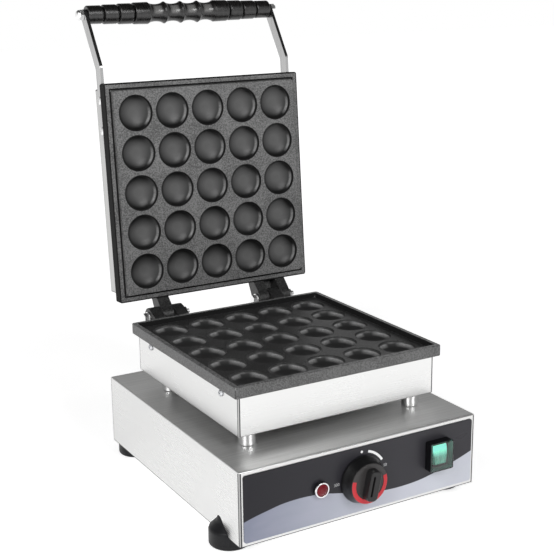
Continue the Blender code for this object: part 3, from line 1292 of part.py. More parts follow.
def build_heater(name, clamp_name, frame, face_z, outward):
    """A tube with parallel legs against a plate's back, and the bar that holds it there."""
    tube_z = face_z + outward * (SEAT_GAP + HEATER_RADIUS)
    near = CASING_FRONT_Y + HEATER_MARGIN
    far = CASING_BACK_Y - HEATER_MARGIN
    corners = []
    for leg in range(HEATER_LEGS):
        x = (leg - (HEATER_LEGS - 1) / 2) * HEATER_SPACING
        ends = (near, far) if leg % 2 == 0 else (far, near)
        corners += [Vector((x, y, tube_z)) for y in ends]
    origin = FRAME_ORIGIN[frame.name]
    route = [point - origin for point in rounded_path(corners, HEATER_SPACING / 2 - MERGE)]
    add_part(name, tube_mesh(name, route, [HEATER_RADIUS] * len(route)), arm_steel, frame, origin)

    clamp_z = tube_z + outward * (HEATER_RADIUS + SEAT_GAP + CLAMP_THICKNESS / 2)
    clamp_length = (HEATER_LEGS - 1) * HEATER_SPACING + 2 * CLAMP_MARGIN
    clamp_y = (near + CASING_MIDDLE_Y) / 2
    add_part(clamp_name, block_mesh(clamp_name, clamp_length, CLAMP_WIDTH, CLAMP_THICKNESS,
                                    corner=CLAMP_CORNER),
             arm_steel, frame, (0, clamp_y, clamp_z))


# Assembly

build_feet()
build_cabinet()
build_fascia()
build_thermostat()
build_lamp()
build_switch()
build_wiring_parts()
build_spacers()

lower_casing = build_lower_casing()
lower_plate = build_lower_plate()
side_screws("casing_screw", (lower_casing, lower_plate), RIM_BOTTOM - CASING_SCREW_DROP, assembly,
            zinc, (("front", CASING_SCREW_FRONT_Y), ("rear", CASING_SCREW_REAR_Y)),
            CASING_SCREW_RADIUS, CASING_SCREW_HEAD_RADIUS, CASING_SCREW_HEAD, 0)
build_heater("lower_heater", "lower_heater_clamp", assembly, BODY_BOTTOM, -1)
build_hinge_bolts()

lid_casing = build_lid_casing()
lid_plate = build_lid_plate()
arm_left, arm_right = build_arms()
side_screws("arm_screw", (lid_casing, lid_plate, arm_left, arm_right), ARM_Z, lid_pivot,
            polished_steel, arm_screw_places(), ARM_SCREW_RADIUS, ARM_SCREW_HEAD_RADIUS,
            ARM_SCREW_HEAD, SEAT_GAP + ARM_THICKNESS)
side_screws("lid_casing_screw", (lid_casing, lid_plate), BORDER_TOP + CASING_SCREW_DROP, lid_pivot,
            zinc, (("", CASING_SCREW_REAR_Y),), CASING_SCREW_RADIUS, CASING_SCREW_HEAD_RADIUS,
            CASING_SCREW_HEAD, 0)
build_heater("lid_heater", "lid_heater_clamp", lid_pivot, LID_BODY_TOP, 1)
build_grip()
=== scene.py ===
"""Looks of the countertop maker for small round waffles.

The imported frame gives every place; each piece here is a fine surface with its finish.
"""

import json
import math

import bmesh
import bpy
from mathutils import Matrix, Vector


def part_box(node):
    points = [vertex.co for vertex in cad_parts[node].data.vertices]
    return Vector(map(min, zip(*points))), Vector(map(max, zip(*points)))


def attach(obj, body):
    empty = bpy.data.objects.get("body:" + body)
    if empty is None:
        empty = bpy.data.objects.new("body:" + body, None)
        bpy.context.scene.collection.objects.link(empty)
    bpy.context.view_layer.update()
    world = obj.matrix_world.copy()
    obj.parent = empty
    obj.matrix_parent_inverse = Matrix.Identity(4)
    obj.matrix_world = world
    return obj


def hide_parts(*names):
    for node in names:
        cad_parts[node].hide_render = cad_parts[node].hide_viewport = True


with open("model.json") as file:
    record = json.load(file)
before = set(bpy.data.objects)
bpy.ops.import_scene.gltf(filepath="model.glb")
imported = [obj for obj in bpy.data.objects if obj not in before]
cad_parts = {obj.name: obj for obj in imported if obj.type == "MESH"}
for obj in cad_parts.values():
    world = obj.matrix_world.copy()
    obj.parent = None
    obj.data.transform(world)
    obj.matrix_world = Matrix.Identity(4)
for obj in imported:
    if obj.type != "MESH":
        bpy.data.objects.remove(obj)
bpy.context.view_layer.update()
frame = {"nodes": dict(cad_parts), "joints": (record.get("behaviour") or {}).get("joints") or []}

# Camera
# A lens of about 76 mm looks from the left front corner, a little above the lid's middle,
# and leans less than a degree, as the photograph does.
MM = 0.001
EYE = Vector((-650.1, -1141.45, 586.8)) * MM
TURN = math.radians(30.15)
DROP = math.radians(15.09)
LEAN = math.radians(-0.63)
LENS = 75.72
SENSOR = 36
FAR = 30


def linked(name, data):
    """A new object in the scene."""
    made = bpy.data.objects.new(name, data)
    bpy.context.scene.collection.objects.link(made)
    return made


camera_data = bpy.data.cameras.new("camera")
camera_data.lens = LENS
camera_data.sensor_width = SENSOR
camera_data.clip_end = FAR
camera = linked("camera", camera_data)
look = Vector((math.sin(TURN) * math.cos(DROP), math.cos(TURN) * math.cos(DROP), -math.sin(DROP)))
level_right = Vector((math.cos(TURN), -math.sin(TURN), 0))
level_up = level_right.cross(look)
right = level_right * math.cos(LEAN) + level_up * math.sin(LEAN)
up = level_up * math.cos(LEAN) - level_right * math.sin(LEAN)
camera.matrix_world = Matrix.Translation(EYE) @ Matrix((right, up, -look)).transposed().to_4x4()
bpy.context.scene.camera = camera
bpy.context.scene.view_settings.view_transform = "Standard"

# Studio
# A lit white table in front of a white wall, which is dark from well above the object on,
# with a soft lamp high on the left and one on the right. The table keeps a faint shadow.
WALL_TOP, DARK_FROM = 0.1, 0.62
DARK_LEVEL = 0.03
WALL_LIGHT = 0.8
WHITE = (1, 1, 1, 1)
TABLE_PAINT, TABLE_ROUGHNESS = 0.9, 0.9
TABLE_GLOW = (0.66, 0.97)
TABLE_GLOW_REACH = (0.35, 1.6)
TABLE_REACH = 7
SQUARE = ((-1, -1), (1, -1), (1, 1), (-1, 1))
LAMPS = {
    "left": {"watts": 25, "size": 1.0, "stands": (-1.75, -1.1, 1.65)},
    "right": {"watts": 22, "size": 0.9, "stands": (0.4, -2.1, 1.6)},
}
LAMP_AIM = Vector((0, 0, 0.22))


def add_node(tree, kind, inputs=None, **settings):
    """A shader node with its settings; each input takes a value or the socket that feeds it."""
    made = tree.nodes.new("ShaderNode" + kind)
    for name, value in settings.items():
        setattr(made, name, value)
    for name, value in (inputs or {}).items():
        if isinstance(value, bpy.types.NodeSocket):
            tree.links.new(value, made.inputs[name])
        else:
            made.inputs[name].default_value = value
    return made


def outputs_of(kind, inputs, **settings):
    """The outputs of a new node in the tree of the first socket that feeds it."""
    socket = next(value for value in inputs.values() if isinstance(value, bpy.types.NodeSocket))
    return add_node(socket.id_data, kind, inputs, **settings).outputs


def sum_of(operation, *values):
    """The result of one step of arithmetic."""
    return outputs_of("Math", dict(enumerate(values)), operation=operation)[0]


def times(first, second):
    """The product of two numbers."""
    return sum_of("MULTIPLY", first, second)


def vector_of(operation, *values):
    """The result of one step of arithmetic with vectors, a number for a length or a dot product."""
    made = outputs_of("VectorMath", dict(enumerate(values)), operation=operation)
    return made["Value" if operation in ("LENGTH", "DOT_PRODUCT") else "Vector"]


def parts_of(vector):
    """A vector's X, Y and Z."""
    return outputs_of("SeparateXYZ", {0: vector})


def span(value, low, high, at_low=0, at_high=1):
    """Turns the stretch from low to high into at_low to at_high."""
    return outputs_of("MapRange", {0: value, 1: low, 2: high, 3: at_low, 4: at_high})[0]


def seen_rays(tree):
    """1 for what the camera, a reflection or a clear piece sees, else 0."""
    path = add_node(tree, "LightPath").outputs
    direct = sum_of("MAXIMUM", path["Is Camera Ray"], path["Is Glossy Ray"])
    return sum_of("MAXIMUM", direct, path["Is Transmission Ray"])


def as_colour(tone):
    """A socket as it is; else a colour, or the grey of one number, with full alpha."""
    if isinstance(tone, bpy.types.NodeSocket):
        return tone
    return (*(tone if isinstance(tone, tuple) else (tone,) * 3), 1)


def new_finish(name, tone, roughness, sockets=None):
    """A finish, its shader with the first values, and the piece's own coordinates."""
    finish = bpy.data.materials.new(name)
    finish.use_nodes = True
    shader = finish.node_tree.nodes["Principled BSDF"]
    values = {"Base Color": as_colour(tone), "Roughness": roughness, **(sockets or {})}
    for socket, value in values.items():
        shader.inputs[socket].default_value = value
    return finish, shader, add_node(finish.node_tree, "TexCoord").outputs["Object"]


def feed(shader, name, value):
    """Lets a socket set one of the shader's values."""
    shader.id_data.links.new(value, shader.inputs[name])


wall = bpy.data.worlds.new("wall")
bpy.context.scene.world = wall
wall.use_nodes = True
backdrop = wall.node_tree.nodes["Background"]
backdrop.inputs["Color"].default_value = WHITE
rise = parts_of(add_node(wall.node_tree, "TexCoord").outputs["Generated"])["Z"]
wall_light = sum_of("MULTIPLY_ADD", seen_rays(wall.node_tree), 1 - WALL_LIGHT, WALL_LIGHT)
feed(backdrop, "Strength", times(span(rise, WALL_TOP, DARK_FROM, 1, DARK_LEVEL), wall_light))

for name, lamp in LAMPS.items():
    lamp_data = bpy.data.lights.new(name, "AREA")
    lamp_data.energy = lamp["watts"]
    lamp_data.size = lamp["size"]
    stand = linked(name, lamp_data)
    stand.location = lamp["stands"]
    stand.rotation_euler = (LAMP_AIM - stand.location).to_track_quat("-Z", "Y").to_euler()

table_paint, shader, place = new_finish("table_paint", TABLE_PAINT, TABLE_ROUGHNESS,
                                        {"Specular IOR Level": 0, "Emission Color": WHITE})
away = vector_of("LENGTH", place)
feed(shader, "Emission Strength", span(away, *TABLE_GLOW_REACH, *TABLE_GLOW))
table_mesh = bpy.data.meshes.new("table")
table_corners = [(x * TABLE_REACH, y * TABLE_REACH, 0) for x, y in SQUARE]
table_mesh.from_pydata(table_corners, [], [(0, 1, 2, 3)])
table_mesh.materials.append(table_paint)
linked("table", table_mesh)

# Feet
# Matte black moulded rubber, hollow below, each held up to the cabinet's floor by one screw.
# They are cones that end in a straight skirt, and they bulge through notches in the sheet.
IN_CABINET = Matrix.Translation((0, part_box("cabinet_shell")[0].y, 0))
CORNERS = ("front_left", "front_right", "rear_left", "rear_right")
SIDES = {"left": -1, "right": 1}
FOOT_SKIRT, FOOT_SKIRT_TOP = 22.5 * MM, 18.5 * MM
FOOT_NECK, FOOT_NECK_TOP = 14.5 * MM, 26 * MM
FOOT_TOP, FOOT_HEIGHT = 9.8 * MM, 36 * MM
FOOT_HOLLOW, FOOT_HOLLOW_DEPTH = 7 * MM, 12 * MM
SCREW_HOLE = 2.65 * MM
WELD = MM / 1000
SHARP = math.radians(32)
FILLET_STEPS = 5
AROUND = 72


def in_mm(*points):
    """Points that are given in millimetres."""
    return [tuple(value * MM for value in point) for point in points]


def rounded(points, closed=False):
    """A profile with its corners rounded; each point ends with its corner's radius."""
    places = [Vector(point[:-1]) for point in points]
    profile = []
    for index, (place, point) in enumerate(zip(places, points)):
        radius = point[-1]
        if radius == 0 or (not closed and index in (0, len(points) - 1)):
            profile.append(tuple(place))
            continue
        back = (places[index - 1] - place).normalized()
        ahead = (places[(index + 1) % len(points)] - place).normalized()
        half = back.angle(ahead) / 2
        centre = place + (back + ahead).normalized() * radius / math.sin(half)
        first = place + back * radius / math.tan(half) - centre
        last = place + ahead * radius / math.tan(half) - centre
        for step in range(FILLET_STEPS + 1):
            spoke = first.lerp(last, step / FILLET_STEPS).normalized()
            profile.append(tuple(centre + spoke * radius))
    return profile


def to_mesh(name, shape):
    """The mesh of a finished shape: faces outwards, smooth but for its sharp edges."""
    bmesh.ops.remove_doubles(shape, verts=shape.verts, dist=WELD)
    bmesh.ops.recalc_face_normals(shape, faces=shape.faces)
    mesh = bpy.data.meshes.new(name)
    shape.to_mesh(mesh)
    shape.free()
    mesh.shade_smooth()
    mesh.set_sharp_from_angle(angle=SHARP)
    return mesh


def band(shape, ring, following):
    """Faces all the way round between two rings."""
    for i, corner in enumerate(ring):
        j = (i + 1) % len(ring)
        shape.faces.new((corner, ring[j], following[j], following[i]))


def lofted(name, rings, closed=False):
    """A skin from ring to ring; its two ends are filled unless it closes on itself."""
    shape = bmesh.new()
    made = [[shape.verts.new(point) for point in ring] for ring in rings]
    for ring, following in zip(made, made[1:] + made[:1] if closed else made[1:]):
        band(shape, ring, following)
    if not closed:
        shape.faces.new(made[0])
        shape.faces.new(made[-1])
    return to_mesh(name, shape)


def circle(count):
    """The angles of points spread evenly round a circle."""
    return [2 * math.pi * i / count for i in range(count)]


def turned(name, points, closed=False, around=AROUND):
    """A turned skin about its own Z, from radius, height and, where it is given, fillet."""
    profile = rounded(points, closed) if len(points[0]) == 3 else points
    angles = circle(around)
    return lofted(name, [[(radius * math.cos(a), radius * math.sin(a), height) for a in angles]
                         for radius, height in profile], closed)


def put(name, mesh, finish, body, node_name=None, place=IN_CABINET):
    """Shows a piece: what it moves with and the CAD node that it stands for."""
    mesh.materials.clear()
    mesh.materials.append(finish)
    piece = linked(name, mesh)
    piece.matrix_world = place
    shading = piece.modifiers.new("flat_faces", "WEIGHTED_NORMAL")
    shading.weight = 100
    shading.keep_sharp = True
    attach(piece, body)
    if node_name:
        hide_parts(node_name)


def noise(place, scale, stretch=(1, 1, 1), detail=2.0):
    """Cloudy noise from 0 to 1, as fine as scale says, stretched along the piece's axes."""
    at = outputs_of("Mapping", {"Vector": place, "Scale": stretch})[0]
    return outputs_of("TexNoise", {"Vector": at, "Scale": scale, "Detail": detail})[0]


def mixed(share, first, second):
    """Two colours mixed by a share."""
    inputs = {0: share, 6: as_colour(first), 7: as_colour(second)}
    return outputs_of("Mix", inputs, data_type="RGBA")[2]


def paint(shader, colour, roughness=None, height=None, depth=0.0):
    """Feeds the shader a colour, a roughness and a relief of that depth."""
    feed(shader, "Base Color", colour)
    if roughness is not None:
        feed(shader, "Roughness", roughness)
    if height is not None:
        relief = {"Strength": 1, "Distance": depth, "Height": height}
        feed(shader, "Normal", outputs_of("Bump", relief)[0])


def grained(name, dark, light, grain, roughness, depth, clouds=30, sockets=None):
    """A finish with a fine grain: colour between dark and light, roughness and relief with it."""
    finish, shader, place = new_finish(name, dark, roughness[0], sockets)
    fine = noise(place, grain)
    cloud = noise(place, clouds)
    both = sum_of("MULTIPLY_ADD", fine, 0.6, times(cloud, 0.4))
    paint(shader, mixed(span(both, 0.35, 0.65), dark, light), span(cloud, 0.3, 0.7, *roughness),
          fine, depth)
    return finish


rubber = grained("moulded_rubber", (0.004, 0.004, 0.005), (0.016, 0.016, 0.018), 1500,
                 (0.38, 0.55), 0.06 * MM, sockets={"Specular IOR Level": 0.22})
foot_side = [
    (FOOT_TOP, FOOT_HEIGHT, 1.5 * MM),
    (FOOT_NECK, FOOT_NECK_TOP, 9 * MM),
    (FOOT_SKIRT, FOOT_SKIRT_TOP, 5 * MM),
    (FOOT_SKIRT, 0, 2.8 * MM),
]
foot_mesh = turned("foot", [
    (SCREW_HOLE, FOOT_HEIGHT, 0),
    *foot_side,
    (FOOT_HOLLOW, 0, 1 * MM),
    (FOOT_HOLLOW, FOOT_HOLLOW_DEPTH, 1 * MM),
    (SCREW_HOLE, FOOT_HOLLOW_DEPTH, 0),
], closed=True)
foot_places = []
for corner in CORNERS:
    low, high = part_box("foot_" + corner)
    foot_places.append(Matrix.Translation(((low.x + high.x) / 2, (low.y + high.y) / 2, 0)))
    put("foot_rubber_" + corner, foot_mesh, rubber, "cabinet", "foot_" + corner,
        foot_places[-1])

# Cabinet sheet
# One stainless sheet, brushed along the front, folded down on four sides and open below.
# It has a notch round each foot, and holes for the knob's spindle, the lamp, switch and gland.
METAL = {"Metallic": 1}
SHEET = 1 * MM
CABINET_WIDTH, CABINET_DEPTH = 300 * MM, 330 * MM
CABINET_LOW, CABINET_HIGH = 16 * MM, 98.5 * MM
CABINET_BEND = 2 * MM
BEND_STEPS = 6
TOUCH = MM / 100
NOTCH_PLAY = 1 * MM
OVERRUN = 3 * MM
KNOB_AT = Vector((-3, 0, 57.5)) * MM
LAMP_AT = Vector((-55, 0, 58.5)) * MM
SWITCH_AT = Vector((96, 0, 64)) * MM
GLAND_AT = Vector((-95, 330, 58)) * MM
SPINDLE_HOLE, LAMP_HOLE, GLAND_HOLE = 5.5 * MM, 6.3 * MM, 8.3 * MM
SWITCH_HOLE = (26 * MM, 29 * MM)
FACING_FRONT = Matrix.Rotation(math.pi / 2, 4, "X")
FACING_BACK = Matrix.Rotation(-math.pi / 2, 4, "X")
FLAT = (1, 1, 0)
MOSTLY, HARDLY = 0.7, 0.3
STREAK, ACROSS_STREAK, STREAK_DETAIL = 14, 900, 4
# Tone of the dark seams and of the painted shade along the bottom edge, and that band's height.
SEAM_AND_SHADE_TONE = (0.035, 0.035, 0.038)
BOTTOM_SHADE_BAND = 0.8 * MM


def moved(mesh, *steps):
    """The mesh after the steps, the last of them first."""
    for step in reversed(steps):
        mesh.transform(step)
    return mesh


def baked(guide, *tools):
    """The finished mesh of a helper object, which goes away with its tools."""
    bpy.context.view_layer.update()
    seen = guide.evaluated_get(bpy.context.evaluated_depsgraph_get())
    mesh = bpy.data.meshes.new_from_object(seen)
    for helper in (guide, *tools):
        bpy.data.objects.remove(helper)
    return mesh


def carved(mesh, cut=(), joined=(), kept=()):
    """A mesh after others are joined to it or cut from it, or only what lies in one is kept."""
    block = linked("block", mesh)
    tools = []
    for operation, meshes in (("UNION", joined), ("DIFFERENCE", cut), ("INTERSECT", kept)):
        for tool_mesh in meshes:
            tools.append(linked("tool", tool_mesh))
            step = block.modifiers.new(operation, "BOOLEAN")
            step.operation = operation
            step.object = tools[-1]
    shape = bmesh.new()
    shape.from_mesh(baked(block, *tools))
    return to_mesh(mesh.name, shape)


def folded(name, width, depth, low, high, bend, middle=(0, 0, 0)):
    """A sheet folded down on four sides round a middle, open below, its bends rounded."""
    skin = bmesh.new()
    bmesh.ops.create_cube(skin, size=1)
    bmesh.ops.scale(skin, vec=(width, depth, high - low), verts=skin.verts)
    edges = [e for e in skin.edges if max(v.co.z for v in e.verts) > 0]
    bmesh.ops.bevel(skin, geom=edges, offset=bend, segments=BEND_STEPS, affect="EDGES", profile=0.5)
    floor_z = min(v.co.z for v in skin.verts)
    mouth = [f for f in skin.faces if all(v.co.z - floor_z < TOUCH for v in f.verts)]
    bmesh.ops.delete(skin, geom=mouth, context="FACES")
    guide = linked(name, bpy.data.meshes.new(name))
    skin.to_mesh(guide.data)
    skin.free()
    thickener = guide.modifiers.new("sheet", "SOLIDIFY")
    thickener.thickness = SHEET
    thickener.offset = -1
    thickener.use_even_offset = True
    return moved(baked(guide), Matrix.Translation((middle[0], middle[1], (low + high) / 2)))


def drill(radius, centre, turn, length=20 * MM):
    """A round cutter through a place."""
    return moved(turned("drill", [(radius, -length / 2), (radius, length / 2)]),
                 Matrix.Translation(centre), turn)


def between(share, first, second):
    """A number between two others, by a share."""
    return outputs_of("Mix", {0: share, 2: first, 3: second})[0]


def brushed(name, tone, roughness, centre, half, bend, low=None):
    """Brushed sheet, its lines clearest on top, with dark seams down its corners.

    The seams stand on the rounded corners of a rectangle round centre and are as wide as bend
    makes them; low is the height of the bottom edge, above which a thin band is painted dark as
    shade.
    """
    finish, shader, place = new_finish(name, tone, roughness[0], METAL)
    face = parts_of(place.node.outputs["Normal"])
    upturned = sum_of("ABSOLUTE", face["Z"])
    on_side = sum_of("GREATER_THAN", sum_of("ABSOLUTE", face["X"]), MOSTLY)
    on_top = sum_of("GREATER_THAN", upturned, MOSTLY)
    along = noise(place, 1, (STREAK, ACROSS_STREAK, ACROSS_STREAK), STREAK_DETAIL)
    across = noise(place, 1, (ACROSS_STREAK, STREAK, ACROSS_STREAK), STREAK_DETAIL)
    lines = between(on_side, along, across)
    cloud = noise(place, 11)
    streak = between(span(lines, 0.32, 0.68), between(on_top, 0.975, 0.82), 1.0)
    steel = outputs_of("VectorMath", {0: tone, "Scale": streak}, operation="SCALE")[0]
    to_edge = vector_of("SUBTRACT", vector_of("ABSOLUTE", vector_of("SUBTRACT", place, centre)),
                        (*half, 0))
    distance = vector_of("LENGTH", vector_of("MULTIPLY", to_edge, FLAT))
    seam = times(span(distance, bend * 0.46, bend * 0.54, 0.45, 1),
                 span(distance, bend * 0.97, bend * 1.05, 1, 0))
    seam_and_bottom_shade = times(seam, sum_of("LESS_THAN", upturned, HARDLY))
    # A thin band just above the bottom edge is painted dark as shade, in the seams' tone.
    if low is not None:
        shaded_bottom = sum_of("LESS_THAN", parts_of(place)["Z"], low + BOTTOM_SHADE_BAND)
        seam_and_bottom_shade = sum_of("MAXIMUM", seam_and_bottom_shade, shaded_bottom)
    scatter = span(sum_of("ADD", lines, cloud), 0.7, 1.3, *roughness)
    paint(shader, mixed(seam_and_bottom_shade, steel, SEAM_AND_SHADE_TONE),
          sum_of("MULTIPLY_ADD", on_top, 0.16, scatter), times(lines, on_top), 0.004 * MM)
    feed(shader, "Metallic", span(on_top, 0, 1, 1, 0.8))
    return finish


def refinish(finish, *node_names):
    """Gives a finish to CAD pieces that are shown as they are."""
    for node_name in node_names:
        frame["nodes"][node_name].data.materials[0] = finish


cabinet_middle = (0, CABINET_DEPTH / 2, 0)
cabinet_steel = brushed("brushed_cabinet_steel", (0.69, 0.69, 0.685), (0.24, 0.34), cabinet_middle,
                        (CABINET_WIDTH / 2, CABINET_DEPTH / 2), CABINET_BEND * 1.3, CABINET_LOW)
cabinet_mesh = folded("cabinet", CABINET_WIDTH, CABINET_DEPTH, CABINET_LOW, CABINET_HIGH,
                      CABINET_BEND, cabinet_middle)
notch_side = [(radius + NOTCH_PLAY, height) for radius, height in rounded(
    [(FOOT_TOP, FOOT_HEIGHT + OVERRUN, 0), *foot_side[:3], (FOOT_SKIRT, -OVERRUN, 0)])]
notches = [moved(turned("notch", notch_side), IN_CABINET.inverted(), place)
           for place in foot_places]
switch_hole = lofted("switch_hole", [
    [(SWITCH_AT.x + x * SWITCH_HOLE[0] / 2, y, SWITCH_AT.z + z * SWITCH_HOLE[1] / 2)
     for x, z in SQUARE] for y in (-2 * OVERRUN, 2 * OVERRUN)])
front_holes = [
    drill(SPINDLE_HOLE, KNOB_AT, FACING_FRONT),
    drill(LAMP_HOLE, LAMP_AT, FACING_FRONT),
    switch_hole,
]
gland_hole = drill(GLAND_HOLE, GLAND_AT, FACING_FRONT)
put("cabinet_sheet", carved(cabinet_mesh, cut=[*notches, *front_holes, gland_hole]),
    cabinet_steel, "cabinet", "cabinet_shell")
refinish(cabinet_steel, "cabinet_floor")

# Fascia
# A thin aluminium plate with rounded corners, glued to the front and printed: near black
# above a wave and silver-lilac below, with a dot and an arc beside the knob.
FASCIA_HALF = 145.4 * MM
FASCIA_LOW, FASCIA_HIGH = 19.8 * MM, 93.9 * MM
FASCIA_FACE, FASCIA_BACK = -1.1 * MM, -0.3 * MM
FASCIA_CORNER, FASCIA_EDGE = 3 * MM, 0.2 * MM
CORNER_STEPS = 8
WAVE_PLACES = ((-146.8, 27.5), (-120, 33.6), (-91.4, 37.7), (-62.4, 37.1), (-32, 31.7), (0, 24.6),
               (30.6, 20.2), (62.7, 20.2), (89.4, 23.9), (120.8, 32.1), (146.1, 40.2))
WAVE_SCALE = 50 * MM
WAVE_BLUR = 0.15 * MM
PANEL_FOOT = 16 * MM
MARK_RADIUS, MARK_HALF = 30.5 * MM, 1.35 * MM
ARC_START, ARC_END = math.radians(15.6), math.radians(58.7)
UPRIGHT = (1, 0, 1)
MARK_PRINT = 0.86


def rectangle(half_x, half_y, corner, height, middle=(0, 0)):
    """Points round a rectangle with rounded corners, at one height."""
    ring = []
    for quarter, (x, y) in enumerate(((1, 1), (-1, 1), (-1, -1), (1, -1))):
        for step in range(CORNER_STEPS + 1):
            angle = math.pi / 2 * (quarter + step / CORNER_STEPS)
            ring.append((middle[0] + x * (half_x - corner) + corner * math.cos(angle),
                         middle[1] + y * (half_y - corner) + corner * math.sin(angle), height))
    return ring


def near(value, centre, half):
    """1 where the value is within half of the centre, else 0."""
    return sum_of("COMPARE", value, centre, half)


def print_fascia():
    """The printed finish, drawn with the plate's own coordinates."""
    finish, shader, place = new_finish("printed_aluminium", (0.02, 0.02, 0.024), 0.3,
                                       {"Specular IOR Level": 0.23})
    at = parts_of(place)
    left, right_end = WAVE_PLACES[0][0] * MM, WAVE_PLACES[-1][0] * MM
    curve = add_node(finish.node_tree, "FloatCurve", {"Value": span(at["X"], left, right_end)})
    line = curve.mapping.curves[0]
    shares = [((x * MM - left) / (right_end - left), z * MM / WAVE_SCALE) for x, z in WAVE_PLACES]
    line.points[0].location, line.points[1].location = shares[0], shares[-1]
    for share in shares[1:-1]:
        line.points.new(*share)
    curve.mapping.update()
    wave = sum_of("MULTIPLY_ADD", curve.outputs[0], WAVE_SCALE, PANEL_FOOT)
    over = sum_of("SUBTRACT", at["Z"], wave)
    grain = noise(place, 2600)
    sheen = noise(place, 14, (1, 1, 3))
    rightwards = span(at["X"], -0.14, 0.05)
    silver = mixed(rightwards, (0.17, 0.19, 0.25), (0.5, 0.52, 0.57))
    silver = mixed(span(sheen, 0.3, 0.7, 0, 0.3), silver, (0.42, 0.4, 0.5))
    black = mixed(rightwards, (0.006, 0.0055, 0.009), (0.026, 0.025, 0.03))
    black = mixed(times(grain, 0.3), black, (0.045, 0.044, 0.05))
    colour = mixed(span(over, -WAVE_BLUR, WAVE_BLUR), silver, black)
    from_knob = vector_of("MULTIPLY", vector_of("SUBTRACT", place, KNOB_AT), UPRIGHT)
    part = parts_of(from_knob)
    angle = sum_of("ARCTAN2", part["X"], part["Z"])
    swept = times(near(vector_of("LENGTH", from_knob), MARK_RADIUS, MARK_HALF),
                  near(angle, (ARC_START + ARC_END) / 2, (ARC_END - ARC_START) / 2))
    dot_at = KNOB_AT + Vector((0, 0, MARK_RADIUS))
    from_dot = vector_of("MULTIPLY", vector_of("SUBTRACT", place, dot_at), UPRIGHT)
    dot = sum_of("LESS_THAN", vector_of("LENGTH", from_dot), MARK_HALF * 1.1)
    colour = mixed(sum_of("MAXIMUM", swept, dot), colour, MARK_PRINT)
    paint(shader, colour, span(sheen, 0.3, 0.7, 0.26, 0.38), grain, 0.004 * MM)
    return finish


fascia_height = FASCIA_HIGH - FASCIA_LOW
fascia_mesh = lofted("fascia", [
    rectangle(FASCIA_HALF - inset, fascia_height / 2 - inset, FASCIA_CORNER - inset, z)
    for inset, z in ((0, -FASCIA_BACK), (0, -FASCIA_FACE - FASCIA_EDGE),
                     (FASCIA_EDGE, -FASCIA_FACE))])
moved(fascia_mesh, Matrix.Translation((0, 0, (FASCIA_HIGH + FASCIA_LOW) / 2)), FACING_FRONT)
put("fascia_print", carved(fascia_mesh, cut=[hole.copy() for hole in front_holes]),
    print_fascia(), "cabinet", "fascia_plate")

# Numerals
# Two small pale figures printed beside the knob, a low one at the scale's start and a high
# one at its end, as thin as the ink.
INK = 0.03 * MM
FIGURE_HEIGHT = 4.6 * MM
FIGURE_RADIUS = 31.5 * MM
FIGURES = {"50": math.radians(74), "300": math.radians(-90)}
pale_ink = grained("pale_ink", (0.36, 0.36, 0.37), (0.6, 0.6, 0.61), 1400, (0.45, 0.6), 0.01 * MM)
for figure, angle in FIGURES.items():
    letters = bpy.data.curves.new("figure", "FONT")
    letters.body = figure
    letters.size = FIGURE_HEIGHT
    letters.align_x = letters.align_y = "CENTER"
    letters.extrude = INK / 2
    figure_at = KNOB_AT + Vector((math.sin(angle), 0, math.cos(angle))) * FIGURE_RADIUS
    figure_at.y = FASCIA_FACE - INK / 2
    put("numeral_" + figure, baked(linked("figure", letters)), pale_ink, "cabinet",
        place=IN_CABINET @ Matrix.Translation(figure_at) @ FACING_FRONT)

# Indicator lamp
# A chromed bezel pushed through the fascia holds a domed lens of dark red plastic, whose
# inside is cut in small prisms.
BEZEL_BACK = 1.4 * MM
BEZEL_FACE = 4.6 * MM
BEZEL_RIM = 0.9 * MM
PRISM = 0.55 * MM
bezel_chrome = grained("bezel_chrome", (0.74, 0.72, 0.73), (0.88, 0.86, 0.87), 700, (0.08, 0.16),
                       0.002 * MM, sockets=METAL)
shader = bezel_chrome.node_tree.nodes["Principled BSDF"]
rim_at = parts_of(add_node(bezel_chrome.node_tree, "TexCoord").outputs["Object"])["Z"]
on_flank = sum_of("LESS_THAN", rim_at, BEZEL_FACE - BEZEL_RIM)
bright = shader.inputs["Base Color"].links[0].from_socket
paint(shader, mixed(on_flank, bright, (0.012, 0.012, 0.014)))
feed(shader, "Metallic", sum_of("SUBTRACT", 1, on_flank))
lens_red, shader, place = new_finish("lens_red", (0.12, 0.003, 0.01), 0.2,
                                     {"Specular IOR Level": 0.25})
slopes = [outputs_of("VectorRotate", {"Vector": place, "Angle": turn}, rotation_type="Z_AXIS")[0]
          for turn in (math.pi / 4, -math.pi / 4)]
prism_depth = sum_of("ADD", *[sum_of("PINGPONG", parts_of(slope)["X"], PRISM) for slope in slopes])
red = mixed(span(prism_depth, 0.2 * MM, 0.9 * MM), (0.045, 0.001, 0.003), (0.26, 0.004, 0.014))
paint(shader, red, None, prism_depth, 0.35)
LAMP_PLACE = IN_CABINET @ Matrix.Translation(LAMP_AT - Vector((0, BEZEL_BACK, 0))) @ FACING_FRONT
put("lamp_bezel", turned("lamp_bezel", [
    (6.9 * MM, 2.4 * MM, 0),
    (6.9 * MM, BEZEL_FACE, 0.3 * MM),
    (8.3 * MM, BEZEL_FACE, 0.4 * MM),
    (8.8 * MM, BEZEL_FACE - 1 * MM, 0.4 * MM),
    *in_mm((8.8, 0, 0.2), (6, 0, 0), (6, -22, 0.6), (1, -22, 0)),
]), bezel_chrome, "cabinet", "indicator_bezel", LAMP_PLACE)
put("lamp_lens", turned("lamp_lens", in_mm(
    (0.05, 6.6, 0), (3.2, 6.2, 4), (6.6, 4.5, 0.3), (6.6, 2.7, 0), (1, 2.7, 0),
)), lens_red, "cabinet", "indicator_lens", LAMP_PLACE)

